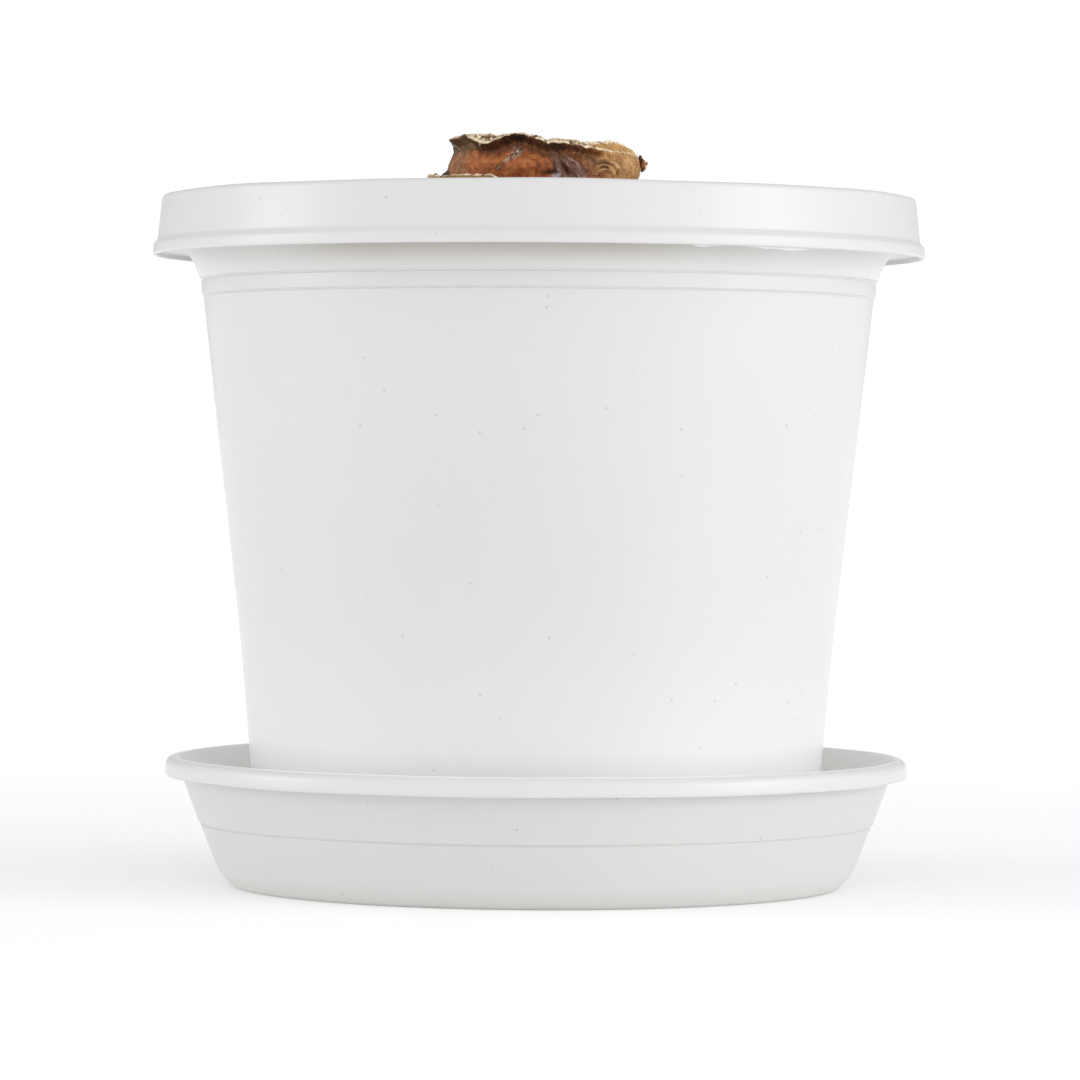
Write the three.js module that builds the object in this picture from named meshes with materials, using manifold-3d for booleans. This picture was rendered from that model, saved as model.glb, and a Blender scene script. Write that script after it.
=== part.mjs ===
// A dormant amaryllis bulb planted in a white plastic pot, which stands in its saucer.
// Millimetres, +Z up. The origin is the middle of the saucer's underside, on the table.
// The front is -Y.
import * as THREE from 'three';
import Module from 'manifold-3d';
import { mergeVertices } from 'three/addons/utils/BufferGeometryUtils.js';

// ---------------------------------------------------------------- driving dimensions

const ROUND_SEGMENTS = 56;          // facets round the pot and the saucer
const CLEARANCE = 0.3;              // running gap between pieces that only rest together

const SAUCER = {
  wall: 1.6,
  floorTop: 3.0,
  floorUnderside: 1.2,
  footInnerRadius: 57.6,
  footOuterRadius: 61.4,
  heelRadius: 64.2,                 // where the base turns up into the wall
  heelHeight: 2.8,
  stepRadius: 68.2,                 // moulded line round the wall
  stepHeight: 12.8,
  stepDepth: 0.3,
  lipRootRadius: 71.9,
  lipRootHeight: 22.9,
  lipRadius: 75.1,                  // lip turned out and down like a hook
  lipBottom: 22.4,
  lipTop: 26.2,
  lipThickness: 1.5,
  mouthRadius: 72.2,
};

const POT = {
  wall: 1.5,
  foot: SAUCER.floorTop,            // the foot ring stands on the saucer's floor
  footInnerRadius: 50.0,
  footOuterRadius: 54.7,
  baseUnderside: 4.4,
  floorTop: 5.9,
  heelRadius: 55.9,
  heelHeight: 4.8,
  lowRadius: 58.3, lowHeight: 29.6, // the taper opens slightly above these two
  midRadius: 60.0, midHeight: 49.4,
  lowerStepRadius: 67.8, lowerStepHeight: 119.3,
  upperStepRadius: 68.25, upperStepHeight: 122.4,
  stepDepth: 0.3,
  shoulderRadius: 71.5,             // shoulder coves out to the collar
  flangeUnderside: 128.0,
  flangeTop: 129.6,
  beadRadius: 78.0,
  beadBottom: 127.1,
  beadTop: 129.15,
  ledgeTop: 130.35,                 // sloped ledge between the bead and the collar
  collarRadius: 77.15,              // collar wall just above the ledge
  rimRadius: 76.25,                 // and at the rim
  rimHeight: 139.45,
  collarWall: 1.7,
};

const DRAIN = {
  holeRadius: 4.0,
  ringRadius: 34.0,
  ringCount: 6,
  notchCount: 4,                    // slots through the foot ring that let water out
  notchWidth: 8.0,
  notchHeight: 0.9,
};

const MIX = {
  level: 118.3,                     // mean surface of the potting mix
  edgeDrop: 2.2,                    // it has settled along the pot's wall
  lump: 1.3,                        // height of its lumps
  crumbs: 40,                       // bark and coir crumbs lying on it
  crumbSize: [1.6, 3.4],
};

const BULB = {
  segments: 48,
  plateHeight: 46.0,                // underside of the basal plate
  widestRadius: 44.0,
  widestHeight: 91.0,
  soilRadius: 36.2,                 // radius where it leaves the potting mix
  soilHeight: 117.2,
  neckRadius: 22.4,                 // where the dry skins start
  neckHeight: 138.9,
  coreRadius: 16.2,                 // packed old leaf bases inside the skins
  coreTop: 147.0,
  rings: 4,
  neckShift: 0.7,                   // the neck leans this far to +X
};

const ROOTS = {
  count: 10,
  startRadius: 12.0,
  startHeight: 49.0,
  thickness: [2.5, 1.3],            // radius at the basal plate and at the tip
  reach: [24, 41],                  // how far from the axis the tips lie
  tipHeight: [9.5, 17.0],
};

// ---------------------------------------------------------------- small helpers

const wasm = await Module();
wasm.setup();

const TURN = Math.PI * 2;
const radians = (degrees) => degrees * Math.PI / 180;
const mix = (a, b, t) => a + (b - a) * t;
const point2 = (r, z) => new THREE.Vector2(r, z);

function smoothstep(from, to, value) {
  const t = THREE.MathUtils.clamp((value - from) / (to - from), 0, 1);
  return t * t * (3 - 2 * t);
}

// A repeatable stream of random numbers in 0..1.
function seededRandom(seed) {
  let state = seed;
  return () => {
    state = (state * 1664525 + 1013904223) % 4294967296;
    return state / 4294967296;
  };
}

// Value on a smooth curve through hand-set stations [position, value].
function along(stations, position) {
  if (position <= stations[0][0]) return stations[0][1];
  for (let i = 1; i < stations.length; i += 1) {
    const [p0, v0] = stations[i - 1];
    const [p1, v1] = stations[i];
    if (position <= p1) return mix(v0, v1, smoothstep(p0, p1, position));
  }
  return stations[stations.length - 1][1];
}

// A body of revolution about Z from an outline that runs from the axis to the axis.
function revolved(outline, segments) {
  const geometry = new THREE.LatheGeometry(outline, segments);
  geometry.rotateX(Math.PI / 2);
  return geometry;
}

function toSolid(geometry) {
  const bare = geometry.clone();
  bare.deleteAttribute('normal');
  bare.deleteAttribute('uv');
  const merged = mergeVertices(bare, 1e-4);
  return new wasm.Manifold(new wasm.Mesh({
    numProp: 3,
    vertProperties: new Float32Array(merged.attributes.position.array),
    triVerts: new Uint32Array(merged.index.array),
  }));
}

function toGeometry(solid) {
  const mesh = solid.getMesh();
  const geometry = new THREE.BufferGeometry();
  geometry.setAttribute('position', new THREE.BufferAttribute(mesh.vertProperties, 3));
  geometry.setIndex(new THREE.BufferAttribute(mesh.triVerts, 1));
  geometry.computeVertexNormals();
  return geometry;
}

// The outer skin alone: pockets that joining has sealed inside the solid are filled.
function filled(geometry) {
  const index = geometry.index.array;
  const parent = Array.from({ length: geometry.attributes.position.count }, (_, i) => i);
  const root = (i) => {
    let at = i;
    while (parent[at] !== at) {
      parent[at] = parent[parent[at]];
      at = parent[at];
    }
    return at;
  };
  for (let i = 0; i < index.length; i += 3) {
    parent[root(index[i + 1])] = root(index[i]);
    parent[root(index[i + 2])] = root(index[i]);
  }
  const triangles = new Map();
  for (let i = 0; i < index.length; i += 3) {
    const shell = root(index[i]);
    if (!triangles.has(shell)) triangles.set(shell, []);
    triangles.get(shell).push(index[i], index[i + 1], index[i + 2]);
  }
  const largest = [...triangles.values()].reduce((a, b) => (b.length > a.length ? b : a));
  geometry.setIndex(largest);
  return geometry;
}

function moved(geometry, x, y, z) {
  geometry.translate(x, y, z);
  return geometry;
}

// A closed grid body: rings of `sides` points from first to last, each end closed by a middle
// point. ringAt(i) returns { middle, points }. From side `mirrorFrom` on, the quads are split
// along their other diagonal.
function ringBody(ringCount, sides, ringAt, mirrorFrom = sides) {
  const positions = [];
  const index = [];
  const rings = [];
  for (let i = 0; i < ringCount; i += 1) rings.push(ringAt(i));
  for (const ring of rings) {
    for (const p of ring.points) positions.push(p.x, p.y, p.z);
  }
  for (let i = 0; i + 1 < ringCount; i += 1) {
    for (let k = 0; k < sides; k += 1) {
      const a = i * sides + k;
      const b = i * sides + (k + 1) % sides;
      if (k < mirrorFrom) index.push(a, b, b + sides, a, b + sides, a + sides);
      else index.push(a, b, a + sides, b, b + sides, a + sides);
    }
  }
  const first = positions.length / 3;
  const last = first + 1;
  for (const ring of [rings[0], rings[ringCount - 1]]) {
    positions.push(ring.middle.x, ring.middle.y, ring.middle.z);
  }
  for (let k = 0; k < sides; k += 1) {
    const next = (k + 1) % sides;
    const top = (ringCount - 1) * sides;
    index.push(first, next, k);
    index.push(last, top + k, top + next);
  }
  const geometry = new THREE.BufferGeometry();
  geometry.setAttribute('position', new THREE.Float32BufferAttribute(positions, 3));
  geometry.setIndex(index);
  return geometry;
}

// A tapering round-section strand along a curve.
function strand(curve, radiusAt, sides, steps) {
  const frames = curve.computeFrenetFrames(steps, false);
  return ringBody(steps + 1, sides, (i) => {
    const middle = curve.getPointAt(i / steps);
    const points = [];
    for (let k = 0; k < sides; k += 1) {
      const turn = TURN * k / sides;
      const offset = frames.normals[i].clone().multiplyScalar(Math.cos(turn))
        .addScaledVector(frames.binormals[i], Math.sin(turn))
        .multiplyScalar(radiusAt(i / steps));
      points.push(offset.add(middle));
    }
    return { middle, points };
  });
}

// ---------------------------------------------------------------- saucer

function saucerOutline() {
  const s = SAUCER;
  const hookInner = s.lipRadius - s.lipThickness;
  const innerStep = s.stepRadius - s.wall - s.stepDepth;
  const innerRoot = s.lipRootRadius - s.wall;
  return [
    point2(0, s.floorUnderside),
    point2(s.footInnerRadius - 0.6, s.floorUnderside),
    point2(s.footInnerRadius, 0),
    point2(s.footOuterRadius, 0),
    point2(s.heelRadius, s.heelHeight),
    point2(s.stepRadius - s.stepDepth, s.stepHeight - 0.2),
    point2(s.stepRadius, s.stepHeight + 0.1),
    point2(s.lipRootRadius, s.lipRootHeight),
    point2(s.lipRootRadius + 0.4, s.lipTop - s.lipThickness - 0.3),
    point2(hookInner - 0.3, s.lipTop - s.lipThickness - 0.2),
    point2(hookInner, s.lipBottom),
    point2(s.lipRadius - 0.2, s.lipBottom),
    point2(s.lipRadius, s.lipBottom + 0.4),
    point2(s.lipRadius - 0.15, s.lipTop - 1.6),
    point2(s.lipRadius - 1.3, s.lipTop),
    point2(s.mouthRadius + 0.7, s.lipTop),
    point2(s.mouthRadius, s.lipTop - 0.5),
    point2(innerRoot, s.lipRootHeight - 1.0),
    point2(innerStep, s.stepHeight),
    point2(s.heelRadius - s.wall, s.floorTop + 1.4),
    point2(s.heelRadius - s.wall - 1.4, s.floorTop),
    point2(0, s.floorTop),
  ];
}

function makeSaucer() {
  return revolved(saucerOutline(), ROUND_SEGMENTS);
}

// ---------------------------------------------------------------- pot

// The wall's inner face, from the floor up to the flange, as [radius, height].
function potInside() {
  const p = POT;
  return [
    [p.heelRadius - p.wall - 1.1, p.floorTop],
    [p.heelRadius - p.wall, p.floorTop + 1.2],
    [p.lowRadius - p.wall, p.lowHeight],
    [p.midRadius - p.wall, p.midHeight],
    [p.lowerStepRadius - p.wall, p.lowerStepHeight],
    [p.upperStepRadius - p.wall, p.upperStepHeight],
    [p.shoulderRadius - p.wall - 1.6, p.flangeTop - 0.9],
  ];
}

function potInnerRadius(height) {
  const wall = potInside();
  for (let i = 1; i < wall.length; i += 1) {
    const [r0, z0] = wall[i - 1];
    const [r1, z1] = wall[i];
    if (height <= z1) return mix(r0, r1, (height - z0) / (z1 - z0));
  }
  return wall[wall.length - 1][0];
}

function potOutline() {
  const p = POT;
  const outside = [
    point2(0, p.baseUnderside),
    point2(p.footInnerRadius - 0.6, p.baseUnderside),
    point2(p.footInnerRadius, p.foot),
    point2(p.footOuterRadius, p.foot),
    point2(p.heelRadius, p.heelHeight),
    point2(p.lowRadius, p.lowHeight),
    point2(p.midRadius, p.midHeight),
    point2(p.lowerStepRadius, p.lowerStepHeight - 0.2),
    point2(p.lowerStepRadius + p.stepDepth, p.lowerStepHeight),
    point2(p.upperStepRadius, p.upperStepHeight - 0.2),
    point2(p.upperStepRadius + p.stepDepth, p.upperStepHeight),
    point2(p.shoulderRadius - 2.45, p.flangeUnderside - 4.1),
    point2(p.shoulderRadius - 1.7, p.flangeUnderside - 2.4),
    point2(p.shoulderRadius, p.flangeUnderside),
  ];
  const bead = [
    point2(p.collarRadius - 0.1, p.flangeUnderside),
    point2(p.collarRadius + 0.2, p.beadBottom),
    point2(p.beadRadius, p.beadBottom + 0.3),
    point2(p.beadRadius, p.beadTop),
    point2(p.collarRadius, p.ledgeTop),
  ];
  const collar = [
    point2(p.rimRadius + 0.15, p.rimHeight - 1.0),
    point2(p.rimRadius - 0.4, p.rimHeight),
    point2(p.rimRadius - 1.2, p.rimHeight),
    point2(p.rimRadius - p.collarWall + 0.1, p.rimHeight - 0.6),
    point2(p.collarRadius - p.collarWall, p.flangeTop),
    point2(p.shoulderRadius - p.wall - 0.8, p.flangeTop),
  ];
  const inside = potInside().reverse().map(([r, z]) => point2(r, z));
  return [...outside, ...bead, ...collar, ...inside, point2(0, p.floorTop)];
}

function makePot() {
  let pot = toSolid(revolved(potOutline(), ROUND_SEGMENTS));
  const holeMiddle = (POT.baseUnderside + POT.floorTop) / 2;
  const drill = () => {
    const geometry = new THREE.CylinderGeometry(DRAIN.holeRadius, DRAIN.holeRadius, 6, 16);
    geometry.rotateX(Math.PI / 2);
    return geometry;
  };
  pot = pot.subtract(toSolid(moved(drill(), 0, 0, holeMiddle)));
  for (let i = 0; i < DRAIN.ringCount; i += 1) {
    const angle = TURN * i / DRAIN.ringCount;
    const x = DRAIN.ringRadius * Math.cos(angle);
    const y = DRAIN.ringRadius * Math.sin(angle);
    pot = pot.subtract(toSolid(moved(drill(), x, y, holeMiddle)));
  }
  for (let i = 0; i < DRAIN.notchCount; i += 1) {
    const notch = new THREE.BoxGeometry(14, DRAIN.notchWidth, 2 * DRAIN.notchHeight);
    notch.translate((POT.footInnerRadius + POT.footOuterRadius) / 2, 0, POT.foot);
    notch.rotateZ(TURN * (i + 0.5) / DRAIN.notchCount);
    pot = pot.subtract(toSolid(notch));
  }
  return toGeometry(pot);
}

// ---------------------------------------------------------------- bulb

// The cut face of the core: packed leaf bases as rings, with a groove inside each.
function coreRings() {
  const step = BULB.coreRadius / (BULB.rings + 0.5);
  const stations = [];
  for (let i = 0; i < BULB.rings; i += 1) {
    const radius = BULB.coreRadius - i * step;
    stations.push([radius - 0.30 * step, BULB.coreTop + 0.3]);
    stations.push([radius - 0.62 * step, BULB.coreTop - 1.5]);
  }
  return stations;
}

// The bulb's outline from the underside of the basal plate to the middle of the cut face.
function bulbStations() {
  const b = BULB;
  return [
    [0, b.plateHeight + 1.2],
    [13, b.plateHeight],
    [19, b.plateHeight + 0.8],
    [22, b.plateHeight + 4.5],
    [28, b.plateHeight + 8],
    [35.5, b.plateHeight + 16],
    [40.8, b.plateHeight + 26],
    [43.4, b.widestHeight - 9],
    [b.widestRadius, b.widestHeight],
    [43.2, b.widestHeight + 9],
    [40.6, b.widestHeight + 18],
    [b.soilRadius, b.soilHeight],
    [31.6, b.soilHeight + 6.6],
    [27.2, b.soilHeight + 13.2],
    [24.4, b.soilHeight + 18.2],
    [b.neckRadius, b.neckHeight],
    [19.4, b.neckHeight + 1.4],
    [b.coreRadius + 0.4, b.neckHeight + 2.6],
    [b.coreRadius, b.coreTop],
    ...coreRings(),
    [0, b.coreTop - 1.2],
  ];
}

// The bulb isn't quite round: its fleshy leaf bases swell at different places.
function bulbSwelling(angle, height) {
  const onBody = smoothstep(BULB.plateHeight + 2, BULB.widestHeight - 20, height)
    * (1 - smoothstep(BULB.soilHeight, BULB.neckHeight, height));
  const oval = 0.012 * Math.cos(2 * angle + 0.7) + 0.009 * Math.cos(3 * angle - 1.1);
  const ribs = 0.006 * Math.cos(13 * angle + 0.05 * height);
  return 1 + onBody * (oval + ribs);
}

// The cut face isn't level: each leaf base was torn or cut at its own height.
function cutFaceLift(angle, radius, height) {
  const share = smoothstep(BULB.neckHeight + 4, BULB.coreTop - 2, height);
  const tilt = -0.03 * radius * Math.cos(angle - 0.5);
  return share * (tilt + 0.45 * Math.cos(3 * angle + 0.9 * radius));
}

function bulbCentre(height) {
  return BULB.neckShift * smoothstep(BULB.widestHeight, BULB.neckHeight, height);
}

// The bulb's body, or with grow above 0 the hole that clears it.
function bulbBody(grow) {
  const outline = bulbStations().map(([r, z]) => point2(r, z));
  const geometry = revolved(outline, BULB.segments);
  const place = geometry.attributes.position;
  for (let i = 0; i < place.count; i += 1) {
    const x = place.getX(i);
    const y = place.getY(i);
    const z = place.getZ(i);
    const radius = Math.hypot(x, y);
    if (radius > 1e-6) {
      const angle = Math.atan2(y, x);
      const scale = bulbSwelling(angle, z) * (radius + grow) / radius;
      const lift = cutFaceLift(angle, radius, z);
      place.setXYZ(i, x * scale + bulbCentre(z), y * scale, z + lift);
    } else {
      place.setXYZ(i, bulbCentre(z), 0, z);
    }
  }
  if (grow > 0) {
    const underside = BULB.plateHeight + 6;
    for (let i = 0; i < place.count; i += 1) {
      if (place.getZ(i) < underside) place.setZ(i, place.getZ(i) - grow);
    }
  }
  return geometry;
}

function rootCurves() {
  const random = seededRandom(41);
  const curves = [];
  for (let i = 0; i < ROOTS.count; i += 1) {
    const angle = TURN * (i + 0.35 * random()) / ROOTS.count;
    const reach = mix(...ROOTS.reach, random());
    const tip = mix(...ROOTS.tipHeight, random());
    const sway = radians(mix(-26, 26, random()));
    const at = (radius, turn, height) => new THREE.Vector3(
      radius * Math.cos(angle + turn), radius * Math.sin(angle + turn), height);
    const depth = ROOTS.startHeight - tip;
    curves.push(new THREE.CatmullRomCurve3([
      at(ROOTS.startRadius, 0, ROOTS.startHeight),
      at(ROOTS.startRadius + 5, 0.1 * sway, ROOTS.startHeight - 0.26 * depth),
      at(mix(ROOTS.startRadius, reach, 0.72), 0.5 * sway, ROOTS.startHeight - 0.62 * depth),
      at(reach, sway, tip),
    ]));
  }
  return curves;
}

function rootSolids(grow) {
  const radiusAt = (t) => mix(...ROOTS.thickness, t) * (1 + 0.1 * Math.sin(17 * t)) + grow;
  return rootCurves().map((curve) => toSolid(strand(curve, radiusAt, 5, 5)));
}

// A dry skin standing round the neck: a thin curved sheet. Angles run in degrees from the
// front (-Y) towards +X. It is split into triangles alike on both faces.
function drySkin({ from, to, columns, bottom, topAt, radiusAt, thickness }) {
  const heights = [0, 0.45, 0.8, 1];
  const sides = 2 * heights.length;
  return ringBody(columns + 1, sides, (i) => {
    const degrees = mix(from, to, i / columns);
    const angle = radians(degrees) - Math.PI / 2;
    const top = topAt(degrees);
    const spot = (share, depth) => {
      const height = mix(bottom, top, share);
      const radius = radiusAt(degrees, height, share) - depth;
      return new THREE.Vector3(
        BULB.neckShift + radius * Math.cos(angle), radius * Math.sin(angle), height);
    };
    const outer = heights.map((share) => spot(share, 0)).reverse();
    const inner = heights.map((share) => spot(share, thickness));
    return { middle: spot(0.55, thickness / 2), points: [...outer, ...inner] };
  }, heights.length);
}

const SKIN_BOTTOM = 135.4;
const SKIN_THICKNESS = 1.1;

// Radius of the standing skins: they bulge a little above the shoulder, narrow to a waist and
// turn out again along the cut edge.
function skinRadius(waist, mouth) {
  return (degrees, height, share) => along([
    [SKIN_BOTTOM, 21.8],
    [139.2, 20.9],
    [142.6, 19.8],
    [145.2, mix(20.1, waist(degrees), 0.35)],
    [147.4, waist(degrees)],
  ], height) + mouth(degrees) * smoothstep(0.62, 1, share);
}

// Each skin: its angles, its torn top edge and its radius.
function drySkins() {
  const fold = (degrees, count, depth) => depth * Math.cos(radians(count * degrees));
  const frontTop = [
    [-112, 148.2], [-92, 148.6], [-74, 149.8], [-60, 150.9], [-45, 151.4], [-39, 150.3],
    [-33, 151.2], [-15, 151.3], [-6, 150.7], [3, 149.4], [9, 150.0], [24, 149.4],
    [36, 148.4], [62, 147.7], [78, 147.4], [98, 145.4],
  ];
  const rightTop = [
    [18, 149.6], [26, 150.7], [48, 150.8], [58, 150.3], [70, 149.1], [88, 148.1],
    [104, 148.4], [128, 149.3], [158, 148.2],
  ];
  const backTop = [[148, 148.8], [175, 150.2], [205, 149.2], [232, 150.3], [262, 148.6]];
  return [
    // the front sheet, with the cut edge leaning out over it
    {
      from: -112, to: 98, columns: 26, bottom: SKIN_BOTTOM, thickness: SKIN_THICKNESS,
      topAt: (degrees) => along(frontTop, degrees),
      radiusAt: skinRadius(
        (degrees) => along(
          [[-90, 17.7], [-60, 18.5], [-20, 19.2], [40, 19.7], [80, 20.3]], degrees)
          + fold(degrees + 20, 9, 0.25),
        (degrees) => along([[-90, 0.8], [-60, 1.6], [0, 1.4], [36, 0.7], [62, 0.1]], degrees)),
    },
    // the sheet behind it, round the right side
    {
      from: 18, to: 158, columns: 16, bottom: SKIN_BOTTOM, thickness: SKIN_THICKNESS,
      topAt: (degrees) => along(rightTop, degrees),
      radiusAt: skinRadius(
        (degrees) => along([[18, 17.6], [50, 18.1], [90, 18.9], [112, 19.6]], degrees)
          + fold(degrees, 10, 0.3),
        (degrees) => along([[30, 0.1], [88, 0.4], [120, 0.7]], degrees)),
    },
    // the sheet across the back
    {
      from: 148, to: 262, columns: 12, bottom: SKIN_BOTTOM, thickness: SKIN_THICKNESS,
      topAt: (degrees) => along(backTop, degrees),
      radiusAt: skinRadius(
        (degrees) => along([[148, 18.8], [200, 19.9], [262, 18.5]], degrees)
          + fold(degrees, 11, 0.3),
        (degrees) => along([[150, 0.5], [215, 1.1], [262, 0.6]], degrees)),
    },
    // a low torn collar of the oldest skin at the left
    {
      from: -118, to: -12, columns: 10, bottom: 134.2, thickness: SKIN_THICKNESS,
      topAt: (degrees) => along(
        [[-118, 140.8], [-96, 143.0], [-60, 142.9], [-30, 142.3], [-12, 140.6]], degrees),
      radiusAt: (degrees, height) => along(
        [[134.2, 23.2], [139.4, 22.4], [143.0, 23.0]], height)
        - 1.3 * smoothstep(-62, -16, degrees) * smoothstep(138.5, 141, height),
    },
  ].map(drySkin);
}

function makeBulb() {
  let bulb = toSolid(bulbBody(0));
  for (const root of rootSolids(0)) bulb = bulb.add(root);
  for (const skin of drySkins()) bulb = bulb.add(toSolid(skin));
  return filled(toGeometry(bulb));
}

// ---------------------------------------------------------------- potting mix

function mixSurface(x, y) {
  const radius = Math.hypot(x, y);
  const edge = potInnerRadius(MIX.level);
  const lumps = Math.sin(0.23 * x + 1.3) * Math.cos(0.19 * y - 0.4)
    + 0.6 * Math.sin(0.41 * x - 0.33 * y + 2.1)
    + 0.4 * Math.cos(0.62 * y + 0.37 * x);
  return MIX.level + 0.5 * MIX.lump * lumps - MIX.edgeDrop * smoothstep(edge - 9, edge, radius);
}

function mixBody() {
  const wall = potInside();
  const gap = CLEARANCE;
  const edge = potInnerRadius(MIX.level - MIX.edgeDrop) - gap;
  const outline = [
    point2(0, POT.floorTop),
    point2(wall[0][0] - gap, POT.floorTop),
    ...wall.slice(1, 4).map(([r, z]) => point2(r - gap, z)),
    point2(edge, MIX.level - MIX.edgeDrop),
    ...[5, 11, 17, 23, 29].map((inset) => point2(edge - inset, MIX.level)),
    point2(0, MIX.level),
  ];
  const geometry = revolved(outline, ROUND_SEGMENTS);
  const place = geometry.attributes.position;
  for (let i = 0; i < place.count; i += 1) {
    if (place.getZ(i) > MIX.level - MIX.edgeDrop - 1) {
      place.setZ(i, mixSurface(place.getX(i), place.getY(i)));
    }
  }
  return geometry;
}

// Angular crumbs of bark and coir, each sunk a little less than halfway into the surface.
function crumbSolids() {
  const random = seededRandom(7);
  const outer = potInnerRadius(MIX.level) - 4.5;
  const inner = BULB.soilRadius + 4;
  const crumbs = [];
  for (let i = 0; i < MIX.crumbs; i += 1) {
    const size = mix(...MIX.crumbSize, random() ** 2);
    const angle = TURN * (i + random()) / MIX.crumbs;
    const radius = mix(inner, outer, random());
    const crumb = new THREE.IcosahedronGeometry(size, 0);
    crumb.scale(1, mix(0.5, 0.9, random()), mix(0.4, 0.7, random()));
    crumb.rotateX(mix(-0.4, 0.4, random()));
    crumb.rotateZ(TURN * random());
    const x = radius * Math.cos(angle);
    const y = radius * Math.sin(angle);
    crumbs.push(toSolid(moved(crumb, x, y, mixSurface(x, y) + 0.1 * size)));
  }
  return crumbs;
}

function makePottingMix() {
  let pottingMix = toSolid(mixBody());
  for (const crumb of crumbSolids()) pottingMix = pottingMix.add(crumb);
  pottingMix = pottingMix.subtract(toSolid(bulbBody(CLEARANCE)));
  for (const root of rootSolids(CLEARANCE)) pottingMix = pottingMix.subtract(root);
  return filled(toGeometry(pottingMix));
}

// ---------------------------------------------------------------- assembly

const finish = (color, roughness) => new THREE.MeshStandardMaterial({
  color, roughness, metalness: 0,
});

function piece(name, geometry, material) {
  const mesh = new THREE.Mesh(geometry, material);
  mesh.name = name;
  return mesh;
}

const amaryllis = new THREE.Group();
amaryllis.add(piece('saucer', makeSaucer(), finish('#e9eaea', 0.32)));
amaryllis.add(piece('pot', makePot(), finish('#ecedee', 0.3)));
amaryllis.add(piece('potting_mix', makePottingMix(), finish('#3b2a1f', 0.95)));
amaryllis.add(piece('bulb', makeBulb(), finish('#a2683a', 0.7)));

export default amaryllis;
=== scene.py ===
import itertools
import math

import bmesh
import bpy
import numpy as np
from mathutils import Matrix, Vector


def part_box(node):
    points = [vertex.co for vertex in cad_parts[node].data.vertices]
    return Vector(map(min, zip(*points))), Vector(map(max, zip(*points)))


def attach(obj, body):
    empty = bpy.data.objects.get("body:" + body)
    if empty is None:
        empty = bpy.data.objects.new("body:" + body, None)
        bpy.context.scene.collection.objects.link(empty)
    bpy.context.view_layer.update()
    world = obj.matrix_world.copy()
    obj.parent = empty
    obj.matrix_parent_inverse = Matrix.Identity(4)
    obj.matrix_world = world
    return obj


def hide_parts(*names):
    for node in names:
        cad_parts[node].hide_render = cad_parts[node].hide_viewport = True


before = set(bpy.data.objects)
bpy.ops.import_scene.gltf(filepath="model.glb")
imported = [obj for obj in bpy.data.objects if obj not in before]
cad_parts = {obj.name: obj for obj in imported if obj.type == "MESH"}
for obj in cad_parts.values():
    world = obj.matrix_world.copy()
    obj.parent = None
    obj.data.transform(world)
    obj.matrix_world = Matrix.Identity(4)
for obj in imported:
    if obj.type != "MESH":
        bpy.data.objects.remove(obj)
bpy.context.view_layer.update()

MM = 0.001
TURN = 2 * math.pi

# ---------------------------------------------------------------- sizes in mm

POT_LOW, POT_HIGH = (np.array(corner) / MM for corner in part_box("pot"))
BEAD_RADIUS, _, RIM_HEIGHT = POT_HIGH
POT_FOOT = POT_LOW[2]
LIP_RADIUS, _, LIP_TOP = np.array(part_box("saucer")[1]) / MM
NECK_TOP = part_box("bulb")[1][2] / MM

POT_FLOOR = 5.9            # inside
FLANGE = 128.0             # underside of the stepped-out collar
SOIL_LEVEL = 118.3
SOIL_EDGE_DROP = 2.2
NECK_SHIFT = 0.7           # the neck leans this far to +X
NECK_RADIUS = 22.0         # about
NECK_FOOT = 135.6          # the standing skins begin here, inside the bulb
CORE_TOP = 147.0           # cut face inside the neck
CORE_RADIUS = 16.2

AROUND = 320               # segments of the pot and the saucer
COLLAR_SHADE_TONE = (0.70, 0.66, 0.61)  # painted shade under the pot's collar: darkens the plastic

# degrees: a sharper corner shows as an edge
PLASTIC_CREASE = 32
CRUMB_CREASE = 35
SKIN_CREASE = 60
SOFT_CREASE = 80


# ---------------------------------------------------------------- number helpers

def smooth(low, high, value):
    """0 at low, 1 at high and a smooth way between. low may be the larger."""
    t = np.clip((np.asarray(value, float) - low) / (high - low), 0.0, 1.0)
    return t * t * (3 - 2 * t)


def band(low, full, fall, high, value):
    """0 below low and above high, 1 from full to fall."""
    return smooth(low, full, value) * smooth(high, fall, value)


def along(stations, value):
    """Smooth curve through listed stations (position, height)."""
    places, heights = np.array(stations, float).T
    value = np.clip(np.asarray(value, float), places[0], places[-1])
    cell = np.clip(np.searchsorted(places, value) - 1, 0, len(places) - 2)
    t = (value - places[cell]) / (places[cell + 1] - places[cell])
    t = t * t * (3 - 2 * t)
    return heights[cell] * (1 - t) + heights[cell + 1] * t


def noise(points, size, seed=0):
    """Smooth noise from -1 to 1 at points (..., 3), with lumps about size across."""
    points = np.asarray(points, float) / size
    cell = np.floor(points).astype(np.int64)
    t = points - cell
    t = t * t * t * (t * (t * 6 - 15) + 10)
    total = np.zeros(points.shape[:-1])
    for corner in itertools.product((0, 1), repeat=3):
        key = cell + np.array(corner)
        mixed = key[..., 0] * 374761393 + key[..., 1] * 668265263 + key[..., 2] * 914744117
        mixed = (mixed + seed * 144665 + 7) & 0xFFFFFFFF
        mixed = ((mixed ^ (mixed >> 13)) * 1274126177) & 0xFFFFFFFF
        value = ((mixed ^ (mixed >> 16)) & 0xFFFFFF) / 0xFFFFFF * 2 - 1
        weight = np.prod(np.where(np.array(corner) == 1, t, 1 - t), axis=-1)
        total += weight * value
    return total


def rough(points, size, octaves=4, seed=0):
    """Noise with finer lumps added, each half as high and half as wide."""
    total = 0
    for octave in range(octaves):
        total = total + noise(points, size / 2 ** octave, seed + 11 * octave) / 2 ** octave
    return total / 1.6


def stack(*parts):
    """Arrays of x, y and z joined as points."""
    return np.stack(np.broadcast_arrays(*parts), axis=-1)


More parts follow.
